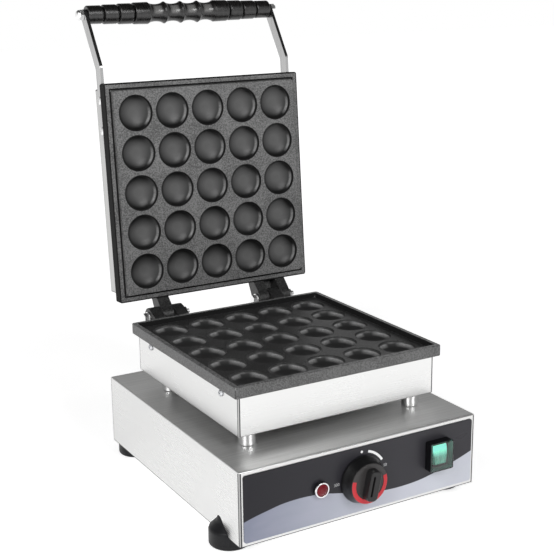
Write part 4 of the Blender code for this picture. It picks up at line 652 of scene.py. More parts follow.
# Knob
# Black moulded plastic pressed on the thermostat's spindle: a flared base, a printed ring
# with a red band, and a tall finger bar with a slot that points at the mark.
KNOB_BACK = 1.9 * MM
KNOB_BORE = 3.25 * MM
KNOB_FACE = 15 * MM
KNOB_DISH = KNOB_FACE - 0.6 * MM
KNOB_BAR_FACE = 24 * MM
KNOB_BAR_REACH = 10 * MM
KNOB_SLOT_X = -2.2 * MM
KNOB_RING = 22.5 * MM
KNOB_LEAN = math.radians(-12)
KNOB_AROUND = 96
RED_INNER, RED_OUTER = 17.5 * MM, 22.3 * MM
RED_FROM = math.radians(72)
RED_PRINT = (0.5, 0.02, 0.03)


def print_knob():
    """Black plastic with the red band on its ring, from three o'clock round below to nine."""
    finish, shader, place = new_finish("knob_plastic", (0.02, 0.02, 0.022), 0.36,
                                       {"Specular IOR Level": 0.35})
    at = parts_of(place)
    radius = vector_of("LENGTH", vector_of("MULTIPLY", place, FLAT))
    angle = sum_of("ABSOLUTE", sum_of("ARCTAN2", at["X"], at["Y"]))
    red = times(near(radius, (RED_INNER + RED_OUTER) / 2, (RED_OUTER - RED_INNER) / 2),
                sum_of("GREATER_THAN", angle, RED_FROM))
    red = times(red, near(at["Z"], KNOB_FACE, 0.6 * MM))
    grain = noise(place, 1900)
    on_face = span(at["Z"], KNOB_FACE - 1.5 * MM, KNOB_FACE - 1 * MM)
    skirt = mixed(grain, 0.002, (0.009, 0.009, 0.01))
    face = mixed(grain, (0.022, 0.021, 0.021), (0.05, 0.046, 0.046))
    bar = sum_of("GREATER_THAN", at["Z"], KNOB_FACE + 0.5 * MM)
    plastic = mixed(sum_of("SUBTRACT", on_face, times(bar, 0.8)), skirt, face)
    paint(shader, mixed(red, plastic, RED_PRINT), span(grain, 0.3, 0.7, 0.3, 0.42),
          grain, 0.03 * MM)
    return finish


knob_body = turned("knob", [
    (KNOB_BORE, 0, 0),
    *in_mm((26.5, 0, 0.4), (26.5, 2, 0.8), (24.6, 7, 12)),
    (KNOB_RING, KNOB_FACE - 0.6 * MM, 0.8 * MM),
    (KNOB_RING - 0.6 * MM, KNOB_FACE, 0.3 * MM),
    (17.6 * MM, KNOB_FACE, 0.3 * MM),
    (17.2 * MM, KNOB_DISH, 0.3 * MM),
    (KNOB_BORE, KNOB_DISH, 0),
], closed=True, around=KNOB_AROUND)
knob_plug = turned("knob_plug", [(8 * MM, 11 * MM), (8 * MM, KNOB_FACE)])
bar_side = rounded([
    (7.5 * MM, KNOB_FACE - 3 * MM, 0),
    (7.5 * MM, KNOB_FACE, 0),
    (6.6 * MM, KNOB_BAR_FACE, 1.2 * MM),
    (4 * MM, KNOB_BAR_FACE, 0),
])
knob_bar = lofted("knob_bar", [rectangle(half, half + KNOB_BAR_REACH, half - 1.5 * MM, height)
                               for half, height in bar_side])
slot_side = ((0.9 * MM, KNOB_BAR_FACE - 2.2 * MM), (1.5 * MM, KNOB_BAR_FACE + 1 * MM))
knob_slot = lofted("knob_slot", [
    rectangle(half, half + KNOB_BAR_REACH, half * 0.9, height, (KNOB_SLOT_X, 0))
    for half, height in slot_side])
for tool in (knob_bar, knob_slot):
    tool.transform(Matrix.Rotation(KNOB_LEAN, 4, "Z"))
put("knob_moulding", carved(knob_body, joined=[knob_plug, knob_bar], cut=[knob_slot]),
    print_knob(), "knob", "thermostat_knob",
    IN_CABINET @ Matrix.Translation(KNOB_AT - Vector((0, KNOB_BACK, 0))) @ FACING_FRONT)

# Switch
# A black frame snapped into the front holds a translucent green rocker with a lamp behind
# it, under a clear moulded cover. It rests switched on, so its top is pressed in.
SWITCH_PLACE = IN_CABINET @ Matrix.Translation(SWITCH_AT) @ FACING_FRONT
COVER_HALF = (15 * MM, 16.5 * MM)
COVER_FACE = 13.6 * MM
COVER_WALL = 1.2 * MM
PIVOT = -0.9 * MM
ROCKER_TILT = math.radians(-10)
ROCKER_TAPER = 0.28
ROCKER_PROUD, ROCKER_LENGTH = 8 * MM, 23 * MM
ROCKER_SLICES = ((-10.1, 0.955), (-9.5, 0.99), (-8.8, 1), (8.8, 1), (9.5, 0.99), (10.1, 0.955))


def slab(name, half_x, half_y, corner, *levels):
    """A slab with rounded corners; each of its levels has an inset and a height, in mm."""
    return lofted(name, [rectangle(half_x - inset, half_y - inset, corner, z)
                         for inset, z in in_mm(*levels)])


black_plastic = grained("black_plastic", (0.01, 0.01, 0.011), (0.028, 0.028, 0.03), 1700,
                        (0.28, 0.42), 0.03 * MM)
switch_frame = carved(
    slab("switch_frame", 13.5 * MM, 15 * MM, 1.2 * MM, (0, 1.4), (0, 3.9), (0.5, 4.4)),
    joined=[slab("switch_body", 12.7 * MM, 14.2 * MM, 0.8 * MM, (0, -24), (0, 3))],
    cut=[slab("switch_pocket", 10.4 * MM, 13 * MM, 0.6 * MM, (0, -5.6), (0, 6))])
put("switch_frame_black", switch_frame, black_plastic, "cabinet",
    "switch_housing", SWITCH_PLACE)

rocker_side = rounded(in_mm(
    (11.6, 8.2, 1.2), (0, 11, 30), (-11.6, 8.2, 1.2), (-11, 1.5, 0.6),
    (-3, -2.5, 0.6), (3, -2.5, 0.6), (11, 1.5, 0.6),
), closed=True)
rocker_mesh = lofted("rocker", [[(x * MM, y * share, z * share) for y, z in rocker_side]
                                for x, share in ROCKER_SLICES])
for corner in rocker_mesh.vertices:
    proud = min(max(corner.co.z / ROCKER_PROUD, 0), 1)
    corner.co.x *= 1 - proud * ROCKER_TAPER * (0.5 - corner.co.y / ROCKER_LENGTH)
rocker_green, shader, place = new_finish(
    "rocker_green", (0.03, 0.5, 0.32), 0.16,
    {"Coat Weight": 0.5, "Emission Color": (0.16, 0.95, 0.7, 1)})
rocker_up = parts_of(place)["Y"]
rocker_ribs = noise(place, 1, (700, 60, 60))
deep = mixed(span(rocker_ribs, 0.35, 0.65), (0.02, 0.22, 0.15), (0.09, 0.46, 0.33))
paint(shader, mixed(span(rocker_up, -2 * MM, 5 * MM), deep, (0.3, 0.95, 0.8)), None, rocker_ribs,
      0.05 * MM)
feed(shader, "Emission Strength", span(rocker_up, -4 * MM, 7 * MM, 0.02, 0.42))
put("switch_rocker_lit", rocker_mesh, rocker_green, "rocker", "switch_rocker",
    SWITCH_PLACE @ Matrix.Translation((0, 0, PIVOT)) @ Matrix.Rotation(ROCKER_TILT, 4, "X"))

cover_clear, shader, place = new_finish("cover_clear", (0.93, 0.96, 0.95), 0.06,
                                        {"Transmission Weight": 1, "IOR": 1.42})
ripple = noise(place, 160)
cover_at = parts_of(place)
window_edge = COVER_FACE - COVER_WALL - 0.4 * MM
window = span(cover_at["Z"], window_edge - 0.5 * MM, window_edge)
# The cover's walls are painted near black outside as shade and green inside as the rocker's glow;
# only the front window is clear.
on_outer_wall = sum_of("MAXIMUM", *[
    sum_of("GREATER_THAN", sum_of("ABSOLUTE", cover_at[axis]), half - COVER_WALL / 2)
    for axis, half in zip("XY", COVER_HALF)])
wall_shade_colour = mixed(on_outer_wall, (0.07, 0.22, 0.18), (0.003, 0.003, 0.004))
paint(shader, mixed(window, wall_shade_colour, (0.93, 0.97, 0.95)), span(ripple, 0.3, 0.7, 0.03, 0.12),
      ripple, 0.08 * MM)
feed(shader, "Transmission Weight", window)
cover_mesh = carved(
    slab("switch_cover", *COVER_HALF, 1.5 * MM, (0, 1.4), (0, 12.2), (0.4, 13.2), (1.3, 13.6)),
    cut=[slab("cover_inside", *[half - COVER_WALL for half in COVER_HALF], 0.8 * MM,
              (0, 0.4), (0, 12.4))])
put("switch_cover_clear", cover_mesh, cover_clear, "cabinet", "switch_cover",
    SWITCH_PLACE)

# Inside the cabinet
# The thermostat and the terminal block are unglazed ceramic, the sensor's tube is drawn
# copper, and a black ribbed gland nut at the back has the bore for the mains cable.
RIB_COUNT = 18
RIB_RADIUS, RIB_AT = 0.7 * MM, 11.2 * MM
RIB_AROUND = 12
ceramic = grained("ceramic", (0.66, 0.63, 0.55), (0.8, 0.78, 0.71), 900, (0.4, 0.55), 0.03 * MM)
copper = grained("drawn_copper", (0.5, 0.2, 0.1), (0.72, 0.36, 0.2), 500, (0.22, 0.4), 0.01 * MM,
                 sockets=METAL)
zinc = grained("zinc_plating", (0.52, 0.53, 0.55), (0.72, 0.73, 0.75), 800, (0.22, 0.4), 0.01 * MM,
               sockets=METAL)
refinish(ceramic, "thermostat_body", "terminal_block")
refinish(copper, "thermostat_capillary")
refinish(zinc, "thermostat_spindle")
refinish(rubber, "wire_bush")
gland_side = in_mm(
    (4.5, 14, 0.4), (7.5, 14, 1.2), (10.4, 9, 1.5), (11, 8, 0.3), (11, 0.3, 0.3),
    (8, 0.3, 0), (8, -1.3, 0), (11, -1.3, 0.3), (11, -6.3, 0.3), (4.5, -6.3, 0.3))
rib_cutters = [
    moved(turned("rib", [(RIB_RADIUS, 2 * MM), (RIB_RADIUS, 12 * MM)], around=RIB_AROUND),
          Matrix.Rotation(angle, 4, "Z"), Matrix.Translation((RIB_AT, 0, 0)))
    for angle in circle(RIB_COUNT)]
put("cable_gland_ribbed", carved(turned("gland", gland_side, closed=True), cut=rib_cutters),
    black_plastic, "cabinet", "cable_gland",
    IN_CABINET @ Matrix.Translation(GLAND_AT) @ FACING_BACK)

# Spacers
# Four short turned steel drums hold the casing up off the cabinet, each round a bolt that
# clamps both sheets. Their ends are chamfered and the tool's fine rings still show.
BOLT_HOLE = 3.25 * MM
SPACER_CHAMFER = 0.6 * MM
TOOL_MARK = 0.82


def lathe(name, tone, roughness, rings=5200):
    """Turned grey steel with the tool's fine rings, which lie across the piece's own Z."""
    finish, shader, place = new_finish(name, tone, roughness[0], METAL)
    marks = noise(place, 1, (18, 18, rings))
    cloud = noise(place, 60)
    paint(shader, mixed(span(marks, 0.35, 0.65), tone * TOOL_MARK, tone),
          span(cloud, 0.3, 0.7, *roughness), marks, 0.012 * MM)
    return finish


turned_steel = lathe("turned_steel", 0.93, (0.14, 0.24))
for corner in CORNERS:
    low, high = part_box("spacer_" + corner)
    height = high.z - low.z
    outer = (high.x - low.x) / 2
    spacer_mesh = turned("spacer", [
        (BOLT_HOLE, 0, 0),
        (outer - SPACER_CHAMFER, 0, 0.1 * MM),
        (outer, SPACER_CHAMFER, 0.3 * MM),
        (outer, height - SPACER_CHAMFER, 0.3 * MM),
        (outer - SPACER_CHAMFER, height, 0.1 * MM),
        (BOLT_HOLE, height, 0),
    ], closed=True)
    put("spacer_drum_" + corner, spacer_mesh, turned_steel, "cabinet",
        "spacer_" + corner,
        Matrix.Translation(((low.x + high.x) / 2, (low.y + high.y) / 2, low.z)))
    refinish(zinc, "spacer_bolt_" + corner, "foot_screw_" + corner)

# Lower casing
# A stainless tray with folded sides that are closed at the corners; it stands on the
# spacers and hangs on four screws from the plate that it surrounds.
CASING_HALF = 125 * MM
CASING_MIDDLE = Vector((0, 170, 0)) * MM
CASING_BEND = 1.5 * MM
casing_steel = brushed("brushed_casing_steel", (0.74, 0.74, 0.735), (0.26, 0.36), CASING_MIDDLE,
                       (CASING_HALF, CASING_HALF), CASING_BEND * 1.5)
casing_low, casing_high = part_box("lower_casing")
casing_height = casing_high.z - casing_low.z
casing_mesh = moved(folded("lower_casing", 2 * CASING_HALF, 2 * CASING_HALF, -casing_height / 2,
                           casing_height / 2, CASING_BEND),
                    Matrix.Translation((0, CASING_MIDDLE.y, (casing_low.z + casing_high.z) / 2)),
                    Matrix.Rotation(math.pi, 4, "X"))
put("casing_sheet_lower", casing_mesh, casing_steel, "cabinet", "lower_casing")

# Casing screws
# Small round-headed screws with a cross slot, bright zinc, that go through the casings
# into the plates' sides just under the rim.
SEAT_X = 125.3 * MM
SCREW_TIP = 0.05 * MM
SCREW_AROUND = 36


def round_screw(name, head_radius, head, shank_radius, length, slot_width):
    """A round-headed screw on its own Z with a cross slot, its seat at zero."""
    body = turned(name, [
        (SCREW_TIP, head, 0),
        (head_radius * 0.55, head * 0.97, head_radius * 0.5),
        (head_radius, head * 0.35, head * 0.3),
        (head_radius, 0, 0),
        (shank_radius, 0, 0),
        (shank_radius, -length, 0.4 * MM),
        (SCREW_TIP, -length, 0),
    ], around=SCREW_AROUND)
    narrow, wide = slot_width / 2, head_radius * 0.55
    slots = [lofted("slot", [rectangle(*half, 0.1 * MM, z) for z in (head * 0.45, head + 1 * MM)])
             for half in ((narrow, wide), (wide, narrow))]
    return carved(body, cut=slots)


def facing_out(sign, x, y, z):
    """A place on the left side, with the sign -1, or on the right one, facing outwards."""
    return Matrix.Translation((sign * x, y, z)) @ Matrix.Rotation(sign * math.pi / 2, 4, "Y")


casing_screw_mesh = round_screw("casing_screw", 4 * MM, 2.6 * MM, 2 * MM, 9.8 * MM, 0.9 * MM)
for corner in CORNERS:
    low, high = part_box("casing_screw_" + corner)
    put("casing_screw_cross_" + corner, casing_screw_mesh, zinc, "cabinet",
        "casing_screw_" + corner,
        facing_out(SIDES[corner.split("_")[1]], SEAT_X, (low.y + high.y) / 2, (low.z + high.z) / 2))

# Lower plate
# Cast aluminium under a dark grey non-stick coat, grainy on the land and smoother in the
# cavities: a raised rim round a sunk face with five rows of five cavities, and cast lugs.
CELLS = 5
PITCH = 47.9 * MM
CAVITY_RADIUS = 21.2 * MM
CAVITY_DEPTH = 9 * MM
CAVITY_WALL = 0.7 * MM
BOWL_STEPS = 10
CELL_POINTS = 64
HINGE_AT = Vector((0, 323.5, 167.6)) * MM
HINGE_X = 76 * MM
ACROSS = Matrix.Rotation(math.pi / 2, 4, "Y")
BOSS = 11.5 * MM
BOSS_STEPS = 16
HINGE_BACK = 22.5 * MM
LUG_ROOT = -HINGE_BACK - 4 * MM
TONGUE_WIDTH, LUG_WIDTH = 16 * MM, 14 * MM
LUG_OFFSET = 15.5 * MM
LUG_EDGE = 0.9 * MM
EDGE_FROM, LUGS_FROM = 130.6 * MM, 132.5 * MM
BOWL_ENDS = (CAVITY_RADIUS - 0.3 * MM, CAVITY_RADIUS + 0.3 * MM)
# The ring of painted shade round each cavity's lip, the fade of the painted highlight under the
# lip, and the width of the painted shade in the grooves.
SHADE_RING_SETS_IN = (CAVITY_RADIUS - 1.1 * MM, CAVITY_RADIUS - 0.6 * MM)
SHADE_RING_FADES = (CAVITY_RADIUS + 0.4 * MM, CAVITY_RADIUS + 0.8 * MM)
HIGHLIGHT_FADES = (20.2 * MM, 20.6 * MM)
GROOVE_SHADE_WIDTH = 1 * MM
# Tones of the painted shade ring, of the worn rim and of the hinge lugs, which are painted dark as
# shade.
SHADE_RING_TONE, WORN_TONE, LUG_SHADE_TONES = 0.0005, 0.32, (0.003, 0.035)


def cavity_profile(face, inwards):
    """Radius and height of a cavity from its lip to its middle; inwards is 1 up or -1 down."""
    lip = rounded([(CAVITY_RADIUS + 0.7 * MM, face, 0), (CAVITY_RADIUS, face, 0.35 * MM),
                   (CAVITY_RADIUS, face + inwards * CAVITY_WALL, 0)])
    bowl = []
    for step in range(1, BOWL_STEPS):
        angle = math.pi / 2 * step / BOWL_STEPS
        depth = CAVITY_WALL + (CAVITY_DEPTH - CAVITY_WALL) * math.sin(angle)
        bowl.append((CAVITY_RADIUS * math.cos(angle), face + inwards * depth))
    return lip + bowl + [(0.3 * MM, face + inwards * CAVITY_DEPTH)]


def fill_face(name, mesh, face, inwards):
    """Opens a plate's flat face and fills it with the cells and a strip up to the edge."""
    shape = bmesh.new()
    shape.from_mesh(mesh)
    flat = [f for f in shape.faces if all(abs(v.co.z - face) < TOUCH for v in f.verts)]
    bmesh.ops.delete(shape, geom=flat, context="FACES_ONLY")
    spokes = [(math.cos(a), math.sin(a)) for a in circle(CELL_POINTS)]
    rings = [[(PITCH / 2 * x / max(abs(x), abs(y)), PITCH / 2 * y / max(abs(x), abs(y)), face)
              for x, y in spokes]]
    rings += [[(radius * x, radius * y, z) for x, y in spokes]
              for radius, z in cavity_profile(face, inwards)]
    steps = [index - (CELLS - 1) / 2 for index in range(CELLS)]
    for row in steps:
        for column in steps:
            middle = CASING_MIDDLE + Vector((column, row, 0)) * PITCH
            made = [[shape.verts.new(middle + Vector(point)) for point in ring] for ring in rings]
            for ring, following in zip(made, made[1:]):
                band(shape, ring, following)
            shape.faces.new(made[-1])
    bmesh.ops.remove_doubles(shape, verts=shape.verts, dist=TOUCH)
    open_edges = [e for e in shape.edges if e.is_boundary]
    bmesh.ops.triangle_fill(shape, use_beauty=True, edges=open_edges)
    return to_mesh(name, shape)


def cast(name, profile, joined):
    """A plate from half width, corner, height and fillet of its rings, with its bored lugs."""
    plate = lofted(name, [rectangle(half, half, corner, height, CASING_MIDDLE[:2])
                          for half, corner, height in rounded(profile)])
    bores = [drill(BOLT_HOLE, HINGE_AT + Vector((x, 0, 0)), ACROSS, 60 * MM)
             for x in (-HINGE_X, HINGE_X)]
    return carved(plate, joined=joined, cut=bores)


def arc(radius, start, end):
    """Points along an arc about the hinge axis; its ends are in degrees."""
    start, end = math.radians(start), math.radians(end)
    angles = [start + (end - start) * step / BOSS_STEPS for step in range(BOSS_STEPS + 1)]
    return [(radius * math.cos(a), radius * math.sin(a)) for a in angles]


def pressed(name, outline, thickness, edge):
    """An outline in Y and Z, as thick as X, its two rims rounded."""
    shape = bmesh.new()
    rims = [[shape.verts.new((x, y, z)) for y, z in outline]
            for x in (thickness / 2, -thickness / 2)]
    for rim in rims:
        shape.faces.new(rim)
    band(shape, *rims)
    sharp = [e for e in shape.edges if abs(e.verts[0].co.x - e.verts[1].co.x) < TOUCH]
    bmesh.ops.bevel(shape, geom=sharp, offset=edge, segments=3, affect="EDGES", profile=0.5)
    return to_mesh(name, shape)


def lugs(outline, tongue_x, fork_x):
    """A tongue at one hinge and the two lugs of a fork at the other."""
    return [moved(pressed("lug", outline, width, LUG_EDGE),
                  Matrix.Translation((x, HINGE_AT.y, HINGE_AT.z)))
            for x, width in ((tongue_x, TONGUE_WIDTH), (fork_x - LUG_OFFSET, LUG_WIDTH),
                             (fork_x + LUG_OFFSET, LUG_WIDTH))]


def coat_plate(name, land, edge, bowl, bowl_reach, highlight_reach, painted_glints, ring, rim_from, shaded_grooves):
    """Non-stick coat: grain on the flats, smoother bowls with a ring of painted shade round each.

    Land and edge give a dark and a light tone; bowl gives those of its middle, its wall and a
    painted highlight under its lip, and a wall darker than the middle is painted shade. The first
    reach is where the middle's tone turns into the wall's, the next where the painted highlight
    sets in, and each glint gives a direction of the highlight's stretches in degrees, with the
    cosines where it starts and is full.
    The coat has worn lighter above rim_from and has painted shade in square grooves of those half
    widths; ring sets how dark the painted shade round each cavity is, and the lugs are painted
    darker as shade.
    """
    finish, shader, place = new_finish(name, land[0], 0.42)
    from_middle = vector_of("SUBTRACT", place, CASING_MIDDLE)
    half = PITCH / 2
    in_cell = vector_of("MULTIPLY", vector_of("WRAP", from_middle, (half, half, 1),
                                              (-half, -half, -1)), FLAT)
    radius = vector_of("LENGTH", in_cell)
    from_axis = parts_of(vector_of("ABSOLUTE", from_middle))
    furthest = sum_of("MAXIMUM", from_axis["X"], from_axis["Y"])
    beyond = sum_of("GREATER_THAN", furthest, CELLS / 2 * PITCH)
    on_flat = sum_of("MAXIMUM", beyond, span(radius, *BOWL_ENDS))
    # The painted shade: a dark ring at each cavity's lip, as strong as ring says, and dark lines in
    # the grooves.
    line = times(span(radius, *SHADE_RING_SETS_IN, 0, ring), span(radius, *SHADE_RING_FADES, 1, 0))
    line = times(line, sum_of("SUBTRACT", 1, beyond))
    for groove in shaded_grooves:
        line = sum_of("MAXIMUM", line, near(furthest, groove, GROOVE_SHADE_WIDTH))
    worn = sum_of("GREATER_THAN", parts_of(place)["Z"], rim_from)
    fine = noise(place, 620, detail=3)
    cloud = noise(place, 22)
    tone = span(sum_of("MULTIPLY_ADD", fine, 0.75, times(cloud, 0.25)), 0.4, 0.6)
    coat = mixed(times(worn, span(fine, 0.4, 0.6, 0.2, 0.6)), mixed(tone, *land), WORN_TONE)
    coat = mixed(sum_of("GREATER_THAN", furthest, EDGE_FROM), coat, mixed(tone, *edge))
    # The hinge lugs are painted near black as shade.
    on_shaded_lug = sum_of("GREATER_THAN", from_axis["Y"], LUGS_FROM)
    coat = mixed(on_shaded_lug, coat, mixed(span(fine, 0.4, 0.6), *LUG_SHADE_TONES))
    # A painted highlight: the bowl's wall under its lip is painted light in the glints' directions,
    # as the lamps' reflection.
    outward = vector_of("NORMALIZE", in_cell)
    painted_glint = 0
    for angle, start, full in painted_glints:
        towards = (math.cos(math.radians(angle)), math.sin(math.radians(angle)), 0)
        facing = vector_of("DOT_PRODUCT", outward, towards)
        painted_glint = sum_of("MAXIMUM", painted_glint, span(facing, start, full))
    lip = times(span(radius, *highlight_reach), span(radius, *HIGHLIGHT_FADES, 1, 0))
    lip = times(lip, times(painted_glint, span(fine, 0.35, 0.6, 0.6, 1)))
    bowl_shade_and_highlight = mixed(lip, mixed(span(radius, *bowl_reach), *bowl[:2]), bowl[2])
    gloss = sum_of("MULTIPLY_ADD", on_flat, 0.04, span(cloud, 0.3, 0.7, 0.36, 0.43))
    paint(shader, mixed(line, mixed(on_flat, bowl_shade_and_highlight, coat), SHADE_RING_TONE),
          sum_of("MAXIMUM", gloss, line), times(fine, on_flat), 0.16 * MM)
    return finish


# Two stretches of each lower bowl's far lip are painted light as highlights, standing for the
# lamps' reflections.
lower_coat = coat_plate(
    "non_stick_coat_lower", land=(0.006, 0.045), edge=(0.045, 0.12), bowl=(0.022, 0.035, 0.33),
    bowl_reach=(15 * MM, 19 * MM), highlight_reach=(15.6 * MM, 20.2 * MM),
    painted_glints=((15, 0.7, 0.95), (110, 0.92, 0.985)), ring=0, rim_from=169 * MM,
    shaded_grooves=(124.6 * MM,))
lower_side = in_mm(
    (121.8, 1.4, 166.2, 0), (123.8, 3.4, 166.2, 1.2), (125.4, 3.6, 171.8, 0.7),
    (131, 2.5, 171.8, 0.9), (131, 2.5, 159, 0.9), (123.2, 3, 159, 0.3),
    (123.2, 3, 147, 0.8), (118, 1, 147, 0))
lower_lug = [(LUG_ROOT, -8 * MM), *arc(BOSS, -90, 125), (LUG_ROOT, 2.1 * MM)]
lower_mesh = cast("lower_plate", lower_side, lugs(lower_lug, HINGE_X, -HINGE_X))
put("plate_cast_lower", fill_face("lower_plate", lower_mesh, lower_side[0][2], -1), lower_coat,
    "cabinet", "lower_plate")

# Lid plate
# The same casting turned over: a land that drops into the rim below, with a fine groove at
# its foot, and the hinges' fork and tongue swapped. It hangs open, just past upright.
lid_hinge = next(joint for joint in frame["joints"] if joint["name"] == "lid_hinge")
hinge_axis = Vector(lid_hinge["pos_m"])
IN_LID = (Matrix.Translation(hinge_axis)
          @ Matrix.Rotation(-math.radians(lid_hinge["range_deg"][1]), 4, "X")
          @ Matrix.Translation(-hinge_axis) @ IN_CABINET)
BORDER_Z, BORDER_TOP = 172.1 * MM, 186.1 * MM
LUG_LOW = BORDER_Z - HINGE_AT.z + 3.7 * MM
LUG_TOP = BORDER_TOP + 4 * MM - HINGE_AT.z
BRIDGE, BRIDGE_DROP = 4 * MM, 0.6 * MM
lid_side = in_mm(
    (121.2, 1.2, 167.3, 0), (123.1, 3, 167.3, 0.6), (124.4, 3.4, 172.9, 0.2),
    (125.6, 4, 172.9, 0.2), (125.8, 4, 172.1, 0.2), (132, 2.5, 172.1, 0.9),
    (132, 2.5, 186.1, 0.9), (123.2, 3, 186.1, 0.3), (123.2, 3, 198.1, 0.8), (118, 1, 198.1, 0))
lid_boss = arc(BOSS, -160, 60)
lid_lug = [(LUG_ROOT, LUG_LOW), *lid_boss, (-HINGE_BACK, LUG_TOP), (LUG_ROOT, LUG_TOP)]
bridge_start = Vector((-HINGE_BACK, LUG_TOP - BRIDGE_DROP))
bridge_end = bridge_start.lerp(Vector((lid_boss[-1][0], lid_boss[-1][1] - BRIDGE_DROP)), 0.6)
bridge_root = LUG_ROOT + 0.6 * MM
bridge = moved(pressed("bridge", [
    (bridge_root, bridge_start.y - BRIDGE + 1.5 * MM),
    (bridge_end.x, bridge_end.y - BRIDGE),
    tuple(bridge_end),
    tuple(bridge_start),
    (bridge_root, bridge_start.y),
], 2 * LUG_OFFSET, 0.3 * MM), Matrix.Translation((HINGE_X, HINGE_AT.y, HINGE_AT.z)))
lid_mesh = cast("lid_plate", lid_side, [bridge, *lugs(lid_lug, -HINGE_X, HINGE_X)])
# The lid has the lower plate's coat painted lighter, as the light on the upright lid; its bowls are
# painted dark towards their walls as shade, with a painted highlight on one side of each lip.
lit_lid_coat = coat_plate(
    "non_stick_coat_lid_lit", land=(0.045, 0.15), edge=(0.012, 0.06), bowl=(0.062, 0.003, 0.14),
    bowl_reach=(6 * MM, 18 * MM), highlight_reach=(17.4 * MM, 18.6 * MM), painted_glints=((16, 0.8, 0.96),),
    ring=1, rim_from=1, shaded_grooves=(125 * MM, 131.4 * MM))
put("plate_cast_lid", fill_face("lid_plate", lid_mesh, lid_side[0][2], 1), lit_lid_coat, "lid",
    "lid_plate", IN_LID)

# Hinge bolts
# Bright steel hexagon bolts with a washer under the head go through each fork and tongue
# from the left, and a nut closes them on the right.
FORK_END = 22.8 * MM
HEX_RADIUS, HEX_CHAMFER = 6 * MM, 0.5 * MM
NUT_HEIGHT, NUT_PLAY = 5.5 * MM, 0.3 * MM
BOLT_RADIUS, BOLT_END = 3 * MM, 4 * MM
ORIGIN = Vector((0, 0, 0))


def hexagon(name, radius, low, high):
    """A hexagon on its own Z with its corners chamfered at both ends."""
    wide, narrow = radius + HEX_CHAMFER * 0.4, radius - HEX_CHAMFER
    cone = turned("cone", [(narrow, low), (wide, low + HEX_CHAMFER), (wide, high - HEX_CHAMFER),
                           (narrow, high)])
    return carved(turned(name, [(radius, low), (radius, high)], around=6), kept=[cone])


bolt_length = 2 * FORK_END + NUT_HEIGHT + NUT_PLAY + BOLT_END
bolt_mesh = carved(hexagon("hinge_bolt", HEX_RADIUS, 1.2 * MM, 6.5 * MM), joined=[
    turned("washer", in_mm((3, 0, 0), (7, 0, 0.2), (7, 1.5, 0.4), (3, 1.5, 0))),
    turned("shank", [
        (BOLT_RADIUS - 0.1 * MM, 1 * MM, 0),
        (BOLT_RADIUS - 0.1 * MM, -bolt_length, 0.5 * MM),
        (1 * MM, -bolt_length, 0),
    ])])
nut_mesh = carved(hexagon("hinge_nut", HEX_RADIUS, 0, NUT_HEIGHT),
                  cut=[drill(BOLT_RADIUS + 0.2 * MM, ORIGIN, Matrix.Identity(4))])
bolt_steel = lathe("bolt_steel", 0.95, (0.28, 0.42), 900)
for side, sign in SIDES.items():
    middle = hinge_axis + Vector((sign * HINGE_X, 0, 0))
    for name, mesh, way in (("hinge_bolt", bolt_mesh, -1), ("hinge_nut", nut_mesh, 1)):
        put(name + "_hex_" + side, mesh, bolt_steel, "cabinet", name + "_" + side,
            Matrix.Translation(middle + Vector((way * FORK_END, 0, 0)))
            @ Matrix.Rotation(way * math.pi / 2, 4, "Y"))

# Lid casing
# The lid's own folded stainless tray, over the heater and seated on the plate's back, with
# a small rubber bush for the wires and two cross-slotted screws near the hinges.
LID_CASING = (186.4 * MM, 218.9 * MM)
LID_SCREW_Y, LID_SCREW_Z = 258.5 * MM, 192.6 * MM
BUSH_AT, BUSH_HOLE = Vector((30, 295, 208.5)) * MM, 4.3 * MM
# The lid casing has the lower casing's brushed steel, painted darker as shade.
shaded_lid_steel = brushed("brushed_lid_steel_shaded", (0.48, 0.48, 0.475), (0.26, 0.36), CASING_MIDDLE,
                    (CASING_HALF, CASING_HALF), CASING_BEND)
lid_casing_mesh = folded("lid_casing", 2 * CASING_HALF, 2 * CASING_HALF, *LID_CASING,
                         CASING_BEND, CASING_MIDDLE)
put("casing_sheet_lid", carved(lid_casing_mesh, cut=[drill(BUSH_HOLE, BUSH_AT, FACING_FRONT)]),
    shaded_lid_steel, "lid", "lid_casing", IN_LID)
put("lid_bush_rubber", turned("lid_bush", in_mm(
    (6, 2.3, 0.8), (6, 0.3, 0.1), (4, 0.3, 0), (4, -1.3, 0),
    (6, -1.3, 0.1), (6, -3.3, 0.8), (2, -3.3, 0.4), (2, 2.3, 0.4),
), closed=True), rubber, "lid", "lid_wire_bush",
    IN_LID @ Matrix.Translation(BUSH_AT) @ FACING_BACK)
for side, sign in SIDES.items():
    put("lid_screw_cross_" + side, casing_screw_mesh, zinc, "lid",
        "lid_casing_screw_" + side, IN_LID @ facing_out(sign, SEAT_X, LID_SCREW_Y, LID_SCREW_Z))

# Heaters
# Tubular elements bent in a flat coil against the plates' backs, their steel sheath dark
# from the heat, each under one clamp bar.
heated_steel = grained("heated_steel", (0.1, 0.09, 0.085), (0.3, 0.26, 0.22), 400, (0.35, 0.6),
                       0.02 * MM, clouds=45, sockets=METAL)
refinish(heated_steel, "lower_heater", "lower_heater_clamp", "lid_heater", "lid_heater_clamp")

